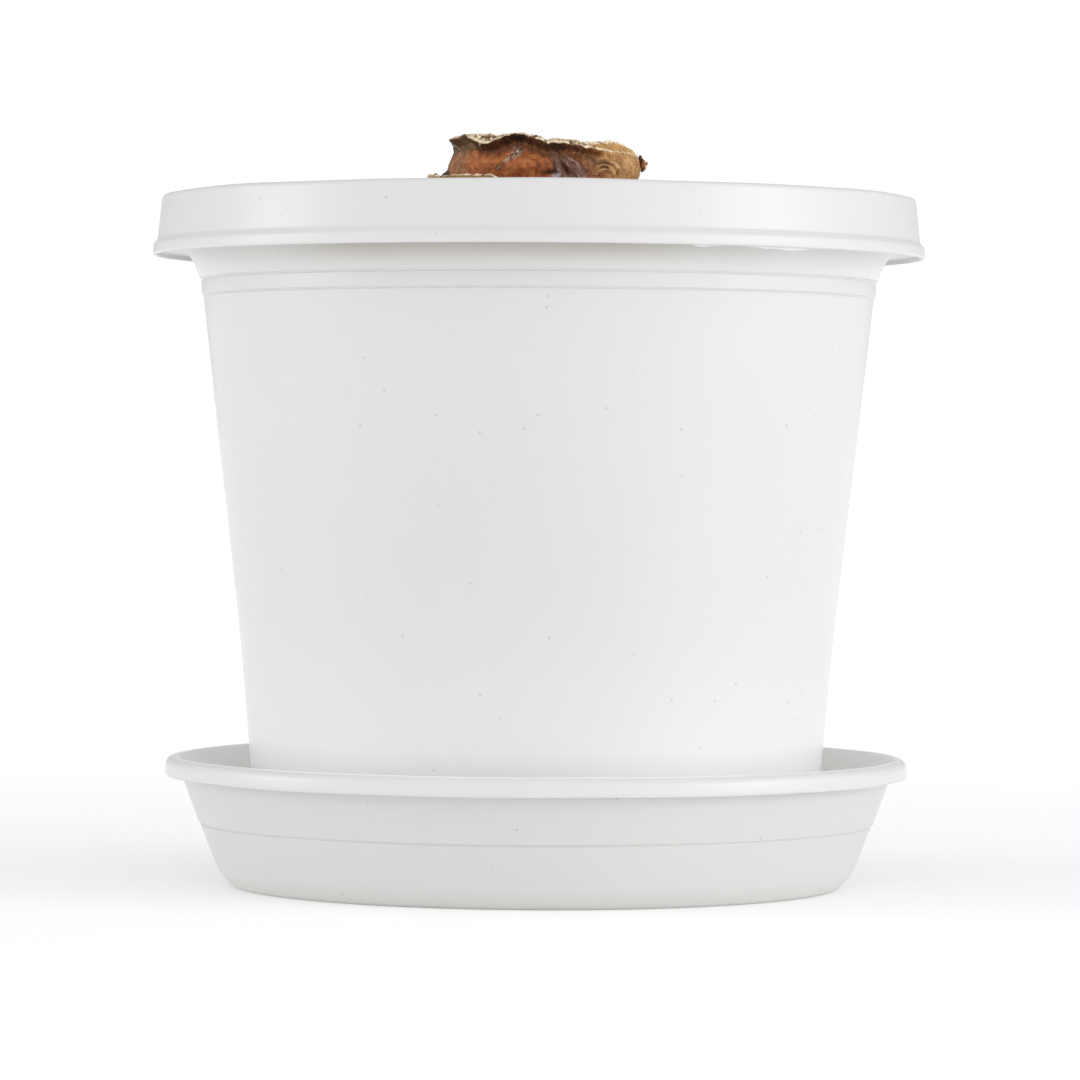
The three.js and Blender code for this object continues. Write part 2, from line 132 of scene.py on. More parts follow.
def linear(red, green, blue):
    """A screen colour from 0 to 255 as the linear colour that a shader takes."""
    channels = np.array([red, green, blue]) / 255
    return np.where(channels <= 0.04045, channels / 12.92, ((channels + 0.055) / 1.055) ** 2.4)


# ---------------------------------------------------------------- mesh helpers

def rounded(corners, steps=5):
    """Outline through corners (r, z, cut): each corner is rounded off over cut mm."""
    outline = []
    for i, corner in enumerate(corners):
        here = np.array(corner[:2], float)
        cut = corner[2] if len(corner) > 2 else 0
        if not cut or i in (0, len(corners) - 1):
            outline.append(here)
            continue
        before = np.array(corners[i - 1][:2], float) - here
        after = np.array(corners[i + 1][:2], float) - here
        start = here + before / np.linalg.norm(before) * min(cut, 0.48 * np.linalg.norm(before))
        end = here + after / np.linalg.norm(after) * min(cut, 0.48 * np.linalg.norm(after))
        for t in np.linspace(0, 1, steps + 1):
            outline.append((1 - t) ** 2 * start + 2 * t * (1 - t) * here + t * t * end)
    return np.array(outline)


def round_angles(count):
    """Angles spread evenly round a circle."""
    return np.arange(count) * TURN / count


def ring(radius, angle, height, shift=0.0):
    """Points round the axis, moved to +X by shift."""
    return stack(radius * np.cos(angle) + shift, radius * np.sin(angle), height)


def grid_faces(rows, columns):
    """Quads between rows of points; each row is a closed loop."""
    row, column = np.meshgrid(np.arange(rows - 1), np.arange(columns), indexing="ij")
    a = row * columns + column
    b = row * columns + (column + 1) % columns
    return np.stack([a, b, b + columns, a + columns], axis=-1).reshape(-1, 4).tolist()


def capped(rings, first, last):
    """Points and faces of a closed body: rings (rows, around, 3) and a fan at each end."""
    rows, around, _ = np.shape(rings)
    points = np.vstack([np.reshape(rings, (-1, 3)), [first, last]])
    faces = grid_faces(rows, around)
    start, end = len(points) - 2, len(points) - 1
    for k in range(around):
        after = (k + 1) % around
        faces.append((start, after, k))
        faces.append(((rows - 1) * around + k, (rows - 1) * around + after, end))
    return points, faces


def revolve(outline, segments):
    """Points and faces of a closed body of revolution: the outline runs from axis to axis."""
    middle = outline[1:-1]
    rings = ring(middle[:, :1], round_angles(segments), middle[:, 1:])
    return capped(rings, [0, 0, outline[0][1]], [0, 0, outline[-1][1]])


def closed_sheet(loops):
    """Points and faces of a thin body: loops (columns, around, 3) run over one face, across the
    free edge and back down the other face. Opposite points of the end loops are joined."""
    columns, around, _ = loops.shape
    faces = grid_faces(columns, around)
    half = around // 2
    for start, turn in ((0, 1), ((columns - 1) * around, -1)):
        for j in range(half - 1):
            quad = (start + j, start + around - 1 - j, start + around - 2 - j, start + j + 1)
            faces.append(quad[::turn])
    return loops.reshape(-1, 3), faces


def polar(points):
    """Radius and degrees of each point."""
    x, y = points[:, 0], points[:, 1]
    return np.hypot(x, y), np.degrees(np.arctan2(x, -y))


def volume(points, faces):
    """Signed volume inside triangles and quads: negative where they point inwards."""
    total = 0.0
    for size in (3, 4):
        group = np.array([face for face in faces if len(face) == size])
        for k in range(1, size - 1 if len(group) else 0):
            a, b, c = points[group[:, 0]], points[group[:, k]], points[group[:, k + 1]]
            total += np.einsum("ij,ij->i", a, np.cross(b, c)).sum() / 6
    return total


def put(name, data):
    """A new object in the scene."""
    made = bpy.data.objects.new(name, data)
    bpy.context.scene.collection.objects.link(made)
    return made


def put_mesh(name, points, faces):
    """A new mesh object from points in millimetres."""
    mesh = bpy.data.meshes.new(name)
    mesh.from_pydata((np.asarray(points) * MM).tolist(), [], faces)
    return put(name, mesh)


def add_piece(name, shape, material, node, sharp_degrees=40, **layers):
    """A mesh piece that stands for a CAD node. layers are values held at its points: a number
    each, or a colour each."""
    points, faces = shape
    if volume(points, faces) < 0:
        faces = [face[::-1] for face in faces]
    piece = put_mesh(name, points, faces)
    mesh = piece.data
    for layer, values in layers.items():
        values = np.asarray(values, float)
        if values.ndim == 2:
            attribute = mesh.attributes.new(layer, "FLOAT_COLOR", "POINT")
            full = np.hstack([values, np.ones((len(values), 1))])
            attribute.data.foreach_set("color", full.ravel())
        else:
            attribute = mesh.attributes.new(layer, "FLOAT", "POINT")
            attribute.data.foreach_set("value", values)
    mesh.shade_smooth()
    mesh.set_sharp_from_angle(angle=math.radians(sharp_degrees))
    mesh.materials.append(material)
    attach(piece, "root")
    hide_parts(node)
    return piece


class Bundle:
    """Small bodies gathered into one mesh, each with a shade from 0 to 1 of its own."""

    def __init__(self):
        self.points = []
        self.faces = []
        self.shades = []
        self.count = 0

    def add(self, points, faces, shade=0.0):
        self.points.append(points)
        self.faces.extend(tuple(i + self.count for i in face) for face in faces)
        self.shades.append(np.full(len(points), shade))
        self.count += len(points)

    def make(self, name, material, node, sharp_degrees):
        add_piece(name, (np.vstack(self.points), self.faces), material, node, sharp_degrees,
                  shade=np.concatenate(self.shades))


def icosphere(level):
    """Points and triangles of a unit ball."""
    ball = bmesh.new()
    bmesh.ops.create_icosphere(ball, subdivisions=level, radius=1.0)
    ball.verts.index_update()
    points = np.array([vert.co[:] for vert in ball.verts])
    faces = [tuple(vert.index for vert in face.verts) for face in ball.faces]
    ball.free()
    return points, faces


def strand(path, radii, sides):
    """A tapering round strand along a path (n, 3): points and faces."""
    path = np.asarray(path, float)
    tangent = np.gradient(path, axis=0)
    tangent /= np.linalg.norm(tangent, axis=1)[:, None]
    side = np.cross(tangent[0], [0.0, 0.3, 1.0])
    turns = round_angles(sides)
    rings = []
    for middle, forward, radius in zip(path, tangent, radii):
        side = side - forward * np.dot(side, forward)
        side = side / np.linalg.norm(side)
        up = np.cross(forward, side)
        rings.append(middle + radius * (np.outer(np.cos(turns), side) + np.outer(np.sin(turns), up)))
    return capped(rings, path[0], path[-1])


# ---------------------------------------------------------------- materials

class Nodes:
    """A node tree under construction."""

    def __init__(self, tree, coordinates):
        self.tree = tree
        self.place = self.node("ShaderNodeTexCoord").outputs[coordinates]

    def node(self, kind, **settings):
        made = self.tree.nodes.new(kind)
        for name, value in settings.items():
            setattr(made, name, value)
        return made

    def link(self, source, target):
        """Feeds target from a socket, or sets it to a number or a colour."""
        if isinstance(source, (int, float)):
            target.default_value = source
        elif isinstance(source, (tuple, list, np.ndarray)):
            target.default_value = (*source, 1.0)
        else:
            self.tree.links.new(source, target)

    def ramp(self, value, low, high, to_low=0.0, to_high=1.0):
        """value from low..high carried smoothly to to_low..to_high and kept inside."""
        made = self.node("ShaderNodeMapRange", interpolation_type="SMOOTHSTEP")
        self.link(value, made.inputs["Value"])
        for socket, number in (("From Min", low), ("From Max", high), ("To Min", to_low),
                               ("To Max", to_high)):
            made.inputs[socket].default_value = number
        return made.outputs["Result"]

    def math(self, operation, *values):
        made = self.node("ShaderNodeMath", operation=operation)
        for value, socket in zip(values, made.inputs):
            self.link(value, socket)
        return made.outputs[0]

    def axis(self, name):
        """One coordinate of the place: X, Y or Z."""
        split = self.node("ShaderNodeSeparateXYZ")
        self.link(self.place, split.inputs[0])
        return split.outputs[name]


class Shader(Nodes):
    """A material under construction. Its place is in metres."""

    def __init__(self, name, **values):
        self.material = bpy.data.materials.new(name)
        self.material.use_nodes = True
        super().__init__(self.material.node_tree, "Object")
        self.surface = self.tree.nodes["Principled BSDF"]
        for socket, value in values.items():
            self.surface.inputs[socket.replace("_", " ")].default_value = value

    def noise(self, size, detail=4.0, stretch=(1, 1, 1), source=None, roughness=0.55):
        """Noise from 0 to 1 with lumps about size mm across."""
        mapping = self.node("ShaderNodeMapping")
        mapping.inputs["Scale"].default_value = stretch
        self.link(source or self.place, mapping.inputs["Vector"])
        made = self.node("ShaderNodeTexNoise")
        made.inputs["Scale"].default_value = 1 / (size * MM)
        made.inputs["Detail"].default_value = detail
        made.inputs["Roughness"].default_value = roughness
        self.link(mapping.outputs["Vector"], made.inputs["Vector"])
        return made.outputs["Fac"]

    def blend(self, share, first, second, mode="MIX"):
        """second laid over first by share, which is a socket or a number."""
        made = self.node("ShaderNodeMix", data_type="RGBA", blend_type=mode)
        self.link(share, made.inputs["Factor"])
        self.link(first, made.inputs["A"])
        self.link(second, made.inputs["B"])
        return next(output for output in made.outputs if output.type == "RGBA")

    def times(self, first, second):
        """The product of two colours."""
        return self.blend(1.0, first, second, "MULTIPLY")

    def layer(self, name, output="Fac"):
        """A layer that the mesh holds at its points."""
        return self.node("ShaderNodeAttribute", attribute_name=name).outputs[output]

    def specks(self, size, radius, share):
        """Round specks: 1 inside a speck of radius mm. Of the cells of size mm, share has one."""
        cells = self.node("ShaderNodeTexVoronoi")
        cells.inputs["Scale"].default_value = 1 / (size * MM)
        self.link(self.place, cells.inputs["Vector"])
        near = self.math("LESS_THAN", cells.outputs["Distance"], radius / size)
        split = self.node("ShaderNodeSeparateColor")
        self.link(cells.outputs["Color"], split.inputs[0])
        chosen = self.math("LESS_THAN", split.outputs[0], share)
        return self.math("MULTIPLY", near, chosen)

    def finish(self, colour, roughness, *heights):
        """Links the surface; heights are (value, depth in mm) pairs for the bump."""
        total = 0.0
        for value, depth in heights:
            total = self.math("MULTIPLY_ADD", value, depth, total)
        bump = self.node("ShaderNodeBump")
        bump.inputs["Strength"].default_value = 1.0
        bump.inputs["Distance"].default_value = MM
        self.link(total, bump.inputs["Height"])
        self.link(colour, self.surface.inputs["Base Color"])
        self.link(roughness, self.surface.inputs["Roughness"])
        self.link(bump.outputs["Normal"], self.surface.inputs["Normal"])
        return self.material


def white_plastic(name, colour, low_colour, foot, reach):
    """Injection-moulded polypropylene: satin, faintly wavy, rubbed here and there, with dark
    specks. Up to foot mm it has low_colour, which fades out above over about reach mm: painted
    light on the pot's lower wall, painted shade on the saucer below its lip. One layer is painted
    shade under the pot's collar; the layer inner is painted light on the saucer's inside."""
    shader = Shader(name, Specular_IOR_Level=0.5, IOR=1.48)
    colour = np.array(colour)
    mottle = shader.ramp(shader.noise(40, detail=3), 0.25, 0.75)
    base = shader.blend(mottle, colour, colour * 0.98)
    above = shader.math("SUBTRACT", shader.axis("Z"), foot * MM)
    fade = shader.math("EXPONENT", shader.math("DIVIDE", above, -reach * MM))
    # low_colour: painted light on the pot's lower wall, painted shade on the saucer below its lip
    base = shader.blend(shader.math("MINIMUM", fade, 1.0), base, low_colour)
    # painted shade under the pot's collar
    base = shader.blend(shader.layer("film"), base, colour * COLLAR_SHADE_TONE)
    # inner: painted light on the saucer's inside, which the pot and the lip shade
    base = shader.blend(shader.layer("inner"), base, colour * 1.28)
    specks = shader.specks(4.3, 0.26, 0.6)
    base = shader.blend(shader.math("MULTIPLY", specks, 0.26), base, linear(104, 98, 92))
    fine = shader.specks(2.6, 0.12, 0.5)
    base = shader.blend(shader.math("MULTIPLY", fine, 0.25), base, linear(124, 118, 112))
    gloss = shader.ramp(shader.noise(26, detail=2), 0.25, 0.75, 0.285, 0.33)
    rubbed = shader.ramp(shader.noise(9, detail=1, stretch=(1, 1, 0.3)), 0.5, 0.9, 0.0, 0.08)
    return shader.finish(base, shader.math("ADD", gloss, rubbed), (shader.noise(30, detail=1), 0.12),
                         (shader.noise(7, detail=1), 0.010), (specks, 0.02))


def soil_material():
    shader = Shader("moist_potting_mix", Specular_IOR_Level=0.25)
    coarse = shader.noise(4.5, detail=6)
    fine = shader.noise(0.9, detail=6)
    base = shader.blend(shader.ramp(coarse, 0.32, 0.68), linear(38, 27, 19), linear(82, 58, 40))
    base = shader.blend(shader.ramp(fine, 0.52, 0.72, 0.0, 0.65), base, linear(120, 88, 60))
    base = shader.blend(shader.ramp(shader.noise(11), 0.5, 0.7, 0.0, 0.5), base, linear(30, 22, 16))
    roughness = shader.ramp(coarse, 0.3, 0.7, 0.78, 0.96)
    return shader.finish(base, roughness, (fine, 0.5), (shader.noise(0.35), 0.18))


def crumb_material(name, dark, light, size, bump):
    """Small bodies that each have their own shade between two screen colours, mottled in lumps
    of size mm, with bumps of up to bump mm."""
    shader = Shader(name, Specular_IOR_Level=0.3)
    base = shader.blend(shader.layer("shade"), linear(*dark), linear(*light))
    mottle = shader.ramp(shader.noise(size, detail=6), 0.3, 0.7, 0.72, 1.12)
    roughness = shader.ramp(mottle, 0.7, 1.1, 0.95, 0.75)
    return shader.finish(shader.times(base, mottle), roughness,
                         (shader.noise(size * 0.5, detail=5), bump))


def dry_skin_material(name, gloss_low, gloss_high, vein_depth, vein_share):
    """Dry bulb skin: a given tint, darker veins along the leaf, blotches and specks.
    The layers across and up unroll the skin round the neck in millimetres."""
    shader = Shader(name, Specular_IOR_Level=0.25, Sheen_Weight=0.03, Sheen_Roughness=0.5)
    flat = shader.node("ShaderNodeCombineXYZ")
    shader.link(shader.layer("across"), flat.inputs[0])
    shader.link(shader.layer("up"), flat.inputs[1])
    unrolled = shader.node("ShaderNodeVectorMath", operation="SCALE")
    shader.link(flat.outputs[0], unrolled.inputs[0])
    unrolled.inputs["Scale"].default_value = MM
    veins = shader.noise(0.8, stretch=(1, 0.12, 1), source=unrolled.outputs[0])
    blotch = shader.noise(1.5, detail=6, roughness=0.65)
    fine = shader.noise(0.32, roughness=0.65)
    tint = shader.layer("tint", "Color")
    base = tint
    for pattern, none, full, share, factor in (
        (blotch, 0.40, 0.66, 0.55, (0.52, 0.46, 0.42)),
        (veins, 0.50, 0.66, vein_share, (0.42, 0.34, 0.30)),
        (fine, 0.52, 0.72, 0.50, (1.7, 1.65, 1.6)),
        (fine, 0.48, 0.30, 0.55, (0.45, 0.38, 0.34)),
    ):
        base = shader.blend(shader.ramp(pattern, none, full, 0.0, share), base,
                            shader.times(tint, factor))
    specks = shader.specks(1.7, 0.13, 0.35)
    base = shader.blend(shader.math("MULTIPLY", specks, 0.6), base, linear(48, 30, 22))
    roughness = shader.ramp(blotch, 0.3, 0.7, gloss_low, gloss_high)
    return shader.finish(base, roughness, (veins, vein_depth), (fine, 0.12), (blotch, 0.14))


# ---------------------------------------------------------------- pot and saucer

def pot_outside():
    return [
        (54.7, POT_FOOT, 1.0), (55.9, 4.9, 1.4), (58.3, 29.6, 6), (60.0, 49.4, 8),
        (67.78, 118.75), (67.62, 118.98), (67.78, 119.2), (68.16, 119.28, 0.12),
        (68.27, 122.0), (68.10, 122.24), (68.24, 122.46), (68.62, 122.55, 0.12),
        (69.05, 123.9, 0.8), (69.8, 125.6, 0.8), (70.5, 126.7, 0.5), (71.5, FLANGE, 0.5),
    ]


def pot_inside_radius(height):
    stations = [(POT_FLOOR, 54.2), (29.6, 56.8), (49.4, 58.5), (119.3, 66.3), (122.4, 66.75),
                (129.6, 68.6)]
    return np.interp(height, *np.array(stations).T)


def make_pot(material):
    """Its outline runs from the middle of the underside over the rim to the inside's middle."""
    under = [(0, 4.4), (49.6, 4.4, 0.4), (50.1, POT_FOOT, 0.3)]
    bead = [
        (77.1, FLANGE, 0.2), (77.3, 127.1, 0.25), (BEAD_RADIUS, 127.1, 0.5),
        (BEAD_RADIUS, 129.15, 0.4), (77.15, 130.35, 0.25),
    ]
    collar = [
        (76.25, RIM_HEIGHT, 1.0), (74.4, RIM_HEIGHT, 0.8), (75.35, FLANGE + 1.6, 0.7),
        (68.4, FLANGE + 1.6, 1.0),
    ]
    inside = [
        (66.75, 122.4, 1.0), (66.3, 118.9, 1), (58.5, 49.4, 8), (56.8, 29.6, 6),
        (54.2, POT_FLOOR, 2.0), (0, POT_FLOOR),
    ]
    outline = rounded(under + pot_outside() + bead + collar + inside)
    points, faces = revolve(outline, AROUND)
    points = with_ripples(points)
    radius, degrees = polar(points)
    height = points[:, 2]
    outside = (radius < 77.2) & (radius > pot_inside_radius(height) + 0.8)
    # Painted shade under the collar: full in front, less to the sides and least on the right, where
    # the lights reach under the collar.
    light_under_collar = 0.8 * smooth(14, 44, np.abs(degrees + 8)) + 0.3 * smooth(30, 46, degrees)
    film = smooth(122.8, FLANGE, height) * outside * (height < FLANGE + 0.1)
    piece = add_piece("pot_wall", (points, faces), material, "pot", PLASTIC_CREASE,
                      film=film * np.clip(1.08 - light_under_collar, 0, 1))
    cut_drain_holes(piece)


def with_ripples(points):
    """Moulded plastic is never true: the rim dips by a few tenths and is slightly oval."""
    angle = np.arctan2(points[:, 1], points[:, 0])
    radius = np.hypot(points[:, 0], points[:, 1])
    high = smooth(110, RIM_HEIGHT, points[:, 2])
    wave = 0.10 * np.sin(3 * angle + 0.6) + 0.06 * np.sin(7 * angle) + 0.04 * np.sin(13 * angle + 2)
    moved = points.copy()
    moved[:, 2] += (wave - 0.18) * smooth(RIM_HEIGHT - 4, RIM_HEIGHT, points[:, 2])
    shrink = 1 - high * (0.0008 + 0.0008 * np.cos(2 * angle + 1.0)) * (radius < BEAD_RADIUS - 0.3)
    moved[:, :2] *= shrink[:, None]
    return moved


def drain_cutters():
    """Rods for six holes round one in the middle, and blocks for four gaps in the foot ring."""
    cutters = Bundle()
    rod, faces = revolve(np.array([(0, 2.0), (4.0, 2.0), (4.0, 8.0), (0, 8.0)]), 48)
    for i in range(7):
        middle = ring(0 if i == 6 else 34.0, TURN * i / 6, 0.0)
        cutters.add(rod + middle, faces)
    block = np.array(list(itertools.product((45.3, 59.3), (-4, 4), (2.0, POT_FOOT + 0.9))))
    faces = [(0, 1, 3, 2), (4, 6, 7, 5), (0, 4, 5, 1), (2, 3, 7, 6), (0, 2, 6, 4), (1, 5, 7, 3)]
    for i in range(4):
        angle = TURN * (i + 0.5) / 4
        sine, cosine = math.sin(angle), math.cos(angle)
        turn = np.array([[cosine, -sine, 0], [sine, cosine, 0], [0, 0, 1]])
        cutters.add(block @ turn.T, faces)
    return put_mesh("drain_cutters", np.vstack(cutters.points), cutters.faces)


def cut_drain_holes(piece):
    cutter = drain_cutters()
    cut = piece.modifiers.new("drain", "BOOLEAN")
    cut.operation = "DIFFERENCE"
    cut.solver = "EXACT"
    cut.object = cutter
    evaluated = piece.evaluated_get(bpy.context.evaluated_depsgraph_get())
    finished = bpy.data.meshes.new_from_object(evaluated)
    piece.modifiers.clear()
    piece.data = finished
    bpy.data.objects.remove(cutter)
    finished.set_sharp_from_angle(angle=math.radians(PLASTIC_CREASE))


def make_flash(material):
    """Two ragged stretches of moulding flash under the bead, front right."""
    degrees = np.linspace(17, 60, 420)
    angle = np.radians(degrees - 90)
    ragged = np.clip(rough(stack(degrees, 0, 0), 2.4, 4, seed=5) + 0.45, 0, 1)
    drop = 0.05
    for start, deepest, end, depth in ((21.0, 23.5, 29.5, 0.6), (27.5, 38.5, 46.0, 1.0)):
        rise = band(start, deepest, deepest + 1, end, degrees)
        drop = drop + depth * rise * (0.55 + 0.45 * ragged)
    root, tip = 127.5, 127.35 - drop
    loops = [ring(radius, angle, height)
             for radius, height in ((76.9, root), (76.95, tip), (77.25, tip), (77.4, root))]
    add_piece("mould_flash", closed_sheet(np.stack(loops, axis=1)), material, "pot")


def make_saucer(material):
    lip_foot = LIP_TOP - 3.8
    outline = rounded([
        (0, 1.2), (9.0, 1.2, 0.3), (9.3, 1.5, 0.2), (56.9, 1.2, 0.4), (57.6, 0.0, 0.3),
        (61.4, 0.0, 1.2), (64.2, 2.8, 1.6), (67.93, 12.45, 0.2), (67.80, 12.68),
        (67.95, 12.9), (68.33, 12.98, 0.12),
        (71.85, 22.6, 2.0), (72.4, 24.5, 0.8), (73.4, 24.6, 0.5), (73.65, lip_foot, 0.25),
        (LIP_RADIUS - 0.2, lip_foot, 0.25), (LIP_RADIUS, LIP_TOP - 3.3, 0.3),
        (LIP_RADIUS - 0.15, LIP_TOP - 0.9, 1.0),
        (73.9, LIP_TOP, 1.1), (72.2, LIP_TOP, 0.7), (70.3, 21.9, 1.5), (66.3, 12.8, 0.4),
        (62.6, 4.4, 1.6), (61.2, 3.0, 1.0), (0, 3.0),
    ])
    points, faces = revolve(outline, AROUND)
    radius, degrees = polar(points)
    lip = (radius > 72.5) & (points[:, 2] > 21)
    wobble = 0.05 * np.sin(np.radians(5 * degrees) + 1) + 0.04 * np.sin(np.radians(11 * degrees))
    points[:, 2] += lip * (wobble - 0.09)
    nicks = ((49.5, 1.3, 0.45), (53.0, 0.7, 0.3), (-24, 0.9, 0.25), (131, 1.2, 0.4))
    for nick, width, depth in nicks:
        bite = np.exp(-((degrees - nick) / width) ** 2) * depth
        points[:, :2] *= (1 - lip * (radius > 74.4) * bite / LIP_RADIUS)[:, None]
    height = points[:, 2]
    outside = np.interp(height, [2.8, 12.8, 22.6, LIP_TOP], [64.2, 68.1, 71.9, LIP_RADIUS])
    # Painted light on the inside, where the pot and the lip shade it.
    inner = smooth(0.7, 1.4, outside - radius) * smooth(1.6, 2.8, height)
    add_piece("saucer_tray", (points, faces), material, "saucer", PLASTIC_CREASE, inner=inner)


# ---------------------------------------------------------------- potting mix

def bulb_radius(angle, height):
    """Radius of the bulb's skin under the neck."""
    stations = [
        (46.0, 13), (46.8, 19), (50.5, 22), (54, 28), (62, 35.5), (72, 40.8), (82, 43.4),
        (91, 44.0), (100, 43.2), (109, 40.6), (117.2, 36.2), (123.8, 31.6), (130.4, 27.2),
        (135.4, 24.4), (138.9, 22.4), (142, 20.6),
    ]
    spread = 2.6 * smooth(90, 108, height)
    base = sum(along(stations, height + spread * step) for step in (-1, -0.5, 0, 0.5, 1)) / 5
    body = band(48, 71, 117.2, 138.9, height)
    oval = 0.012 * np.cos(2 * angle + 0.7) + 0.009 * np.cos(3 * angle - 1.1)
    return base * (1 + body * (oval + 0.006 * np.cos(13 * angle + 0.05 * height)))


def soil_height(x, y):
    """Surface of the potting mix: settled clods, lower along the pot's wall."""
    radius = np.hypot(x, y)
    edge = pot_inside_radius(SOIL_LEVEL)
    swell = np.sin(0.23 * x + 1.3) * np.cos(0.19 * y - 0.4) + 0.6 * np.sin(0.41 * x - 0.33 * y + 2.1)
    swell = swell + 0.4 * np.cos(0.62 * y + 0.37 * x)
    place = stack(x, y, 0)
    clods = 1.1 * rough(place, 6.0, 3, seed=3) + 0.75 * np.abs(rough(place, 2.2, 4, seed=9))
    grains = 0.35 * noise(place, 0.9, seed=21) + 0.2 * noise(place, 0.5, seed=22)
    return (SOIL_LEVEL + 0.65 * swell + clods + grains
            - SOIL_EDGE_DROP * smooth(edge - 9, edge, radius))


def make_soil(material):
    angles = round_angles(760)
    wall = ((30, POT_FLOOR), (53.6, POT_FLOOR), (54.0, 8.0), (56.3, 29.6), (58.1, 49.4))
    rings = [ring(radius, angles, height) for radius, height in wall]
    edge = pot_inside_radius(SOIL_LEVEL) - 0.35
    inner = bulb_radius(angles, SOIL_LEVEL - 1.0) - 0.8
    for share in np.linspace(0, 1, 74):
        radius = edge * (1 - share) + inner * share
        x, y = radius * np.cos(angles), radius * np.sin(angles)
        rings.append(stack(x, y, soil_height(x, y)))
    for height in (108, 91, 70, 54, 46):
        rings.append(ring(bulb_radius(angles, height) - 0.4, angles, height))
    shape = capped(rings, [0, 0, POT_FLOOR], [0, 0, 45.6])
    add_piece("soil_bed", shape, material, "potting_mix", SOFT_CREASE)


def soil_spot(random, inset):
    """A random place on the open soil, inset or more from the bulb and the wall."""
    angle = random.uniform(0, TURN)
    inner = float(bulb_radius(angle, SOIL_LEVEL)) + inset
    outer = float(pot_inside_radius(SOIL_LEVEL)) - inset - 0.4
    radius = math.sqrt(random.uniform(inner ** 2, outer ** 2))
    return radius * math.cos(angle), radius * math.sin(angle)


def scatter(random, count, level, sizes, flat, roughness, lift):
    """Angular crumbs lying in the soil's surface. level is the fineness of their mesh, sizes
    and flat are ranges, and lift is how far up a crumb's middle lies, as a share of its size."""
    bundle = Bundle()
    ball, faces = icosphere(level)
    for _ in range(count):
        size = sizes[0] + (sizes[1] - sizes[0]) * random.random() ** 2.2
        x, y = soil_spot(random, size)
        axes = size * np.array([1, random.uniform(0.55, 0.95), random.uniform(*flat)])
        lumps = 1 + roughness * noise(ball * 2.1 + random.uniform(0, 90), 1.0)
        turn = Matrix.Rotation(random.uniform(0, TURN), 3, "Z")
        tip = Matrix.Rotation(random.uniform(-0.6, 0.6), 3, "X")
        body = (ball * lumps[:, None] * axes) @ np.array(turn @ tip).T
        bundle.add(body + [x, y, soil_height(x, y) + size * lift], faces, random.random())
    return bundle


def make_crumbs():
    random = np.random.default_rng(12)
    coir = crumb_material("coir_crumbs", (40, 27, 19), (112, 78, 50), 0.9, 0.35)
    bark = crumb_material("bark_chips", (62, 38, 26), (146, 98, 62), 1.6, 0.4)
    stone = crumb_material("perlite", (205, 200, 190), (238, 236, 230), 0.8, 0.25)
    for name, material, numbers in (
        ("coir_crumbs", coir, (1500, 1, (0.45, 1.7), (0.5, 0.9), 0.45, 0.15)),
        ("bark_chips", bark, (90, 2, (1.3, 3.6), (0.22, 0.45), 0.35, 0.12)),
        ("perlite_grains", stone, (80, 2, (0.5, 1.5), (0.7, 0.95), 0.3, 0.25)),
    ):
        scatter(random, *numbers).make(name, material, "potting_mix", CRUMB_CREASE)


def fibre_path(random, steps=12):
    """Points of a loose curve over the surface. It ends at the pot or at the bulb."""
    x, y = soil_spot(random, 2.0)
    heading = random.uniform(0, TURN)
    stride = random.uniform(3, 13) / steps
    bend = random.uniform(-0.28, 0.28)
    path = []
    for i in range(steps):
        radius = math.hypot(x, y)
        if radius > pot_inside_radius(SOIL_LEVEL) - 1:
            break
        if radius < bulb_radius(math.atan2(y, x), SOIL_LEVEL) + 0.8:
            break
        lift = 0.15 + 0.5 * math.sin(math.pi * i / (steps - 1)) * random.uniform(0.2, 1)
        path.append((x, y, soil_height(x, y) + lift))
        heading += bend + random.uniform(-0.18, 0.18)
        x += stride * math.cos(heading)
        y += stride * math.sin(heading)
    return path


def make_soil_fibres():
    random = np.random.default_rng(5)
    material = crumb_material("coir_fibre", (96, 62, 36), (176, 130, 82), 1.2, 0.1)
    bundle = Bundle()
    for _ in range(420):
        path = fibre_path(random)
        if len(path) < 4:
            continue
        radii = np.linspace(1, 0.5, len(path)) * random.uniform(0.07, 0.16)
        bundle.add(*strand(path, radii, 4), random.random())
    bundle.make("soil_fibres", material, "potting_mix", SOFT_CREASE)


# ---------------------------------------------------------------- bulb body and roots

TERRACOTTA = linear(180, 103, 58)
CHESTNUT = linear(128, 74, 44)
DARK_BROWN = linear(66, 43, 31)
GREY_BROWN = linear(162, 112, 70)
PURPLE = linear(124, 92, 76)
TAN = linear(196, 147, 92)
OCHRE = linear(212, 162, 92)
CREAM = linear(254, 234, 198)
BACK_BROWN = linear(158, 104, 66)


def as_linear(colour):
    """A tuple is a screen colour, and an array is linear already."""
    return linear(*colour) if isinstance(colour, tuple) else colour


def paint(base, *zones):
    """A tint for each point: the base colour, then each (weight, colour) laid over it."""
    tint = as_linear(base) + np.zeros((*np.shape(zones[0][0]), 3))
    for weight, colour in zones:
        share = np.clip(weight, 0, 1)[..., None]
        tint = tint * (1 - share) + as_linear(colour) * share
    return tint


def skin_layers(points, tint):
    """The tint and the unrolled place of each point, as layers for a skin material."""
    flat = points.reshape(-1, 3)
    angle = np.arctan2(flat[:, 0] - NECK_SHIFT, -flat[:, 1])
    return {"tint": tint.reshape(-1, 3), "across": angle * NECK_RADIUS, "up": flat[:, 2]}


def body_tint(points):
    """Chestnut skin with pale and dark patches, stained where it meets the potting mix."""
    patch = rough(points, 13, 3, seed=31)
    stain = smooth(124, 117, points[..., 2]) * (0.6 + 0.4 * rough(points, 5, 3, seed=32))
    return paint(CHESTNUT, (smooth(0.05, 0.5, patch), TAN * 0.8),
                 (smooth(-0.1, -0.55, patch), DARK_BROWN * 1.5), (0.65 * stain, DARK_BROWN))


def bulb_lean(height):
    """How far the bulb has moved to +X at a height."""
    return NECK_SHIFT * smooth(91, 138.9, height)


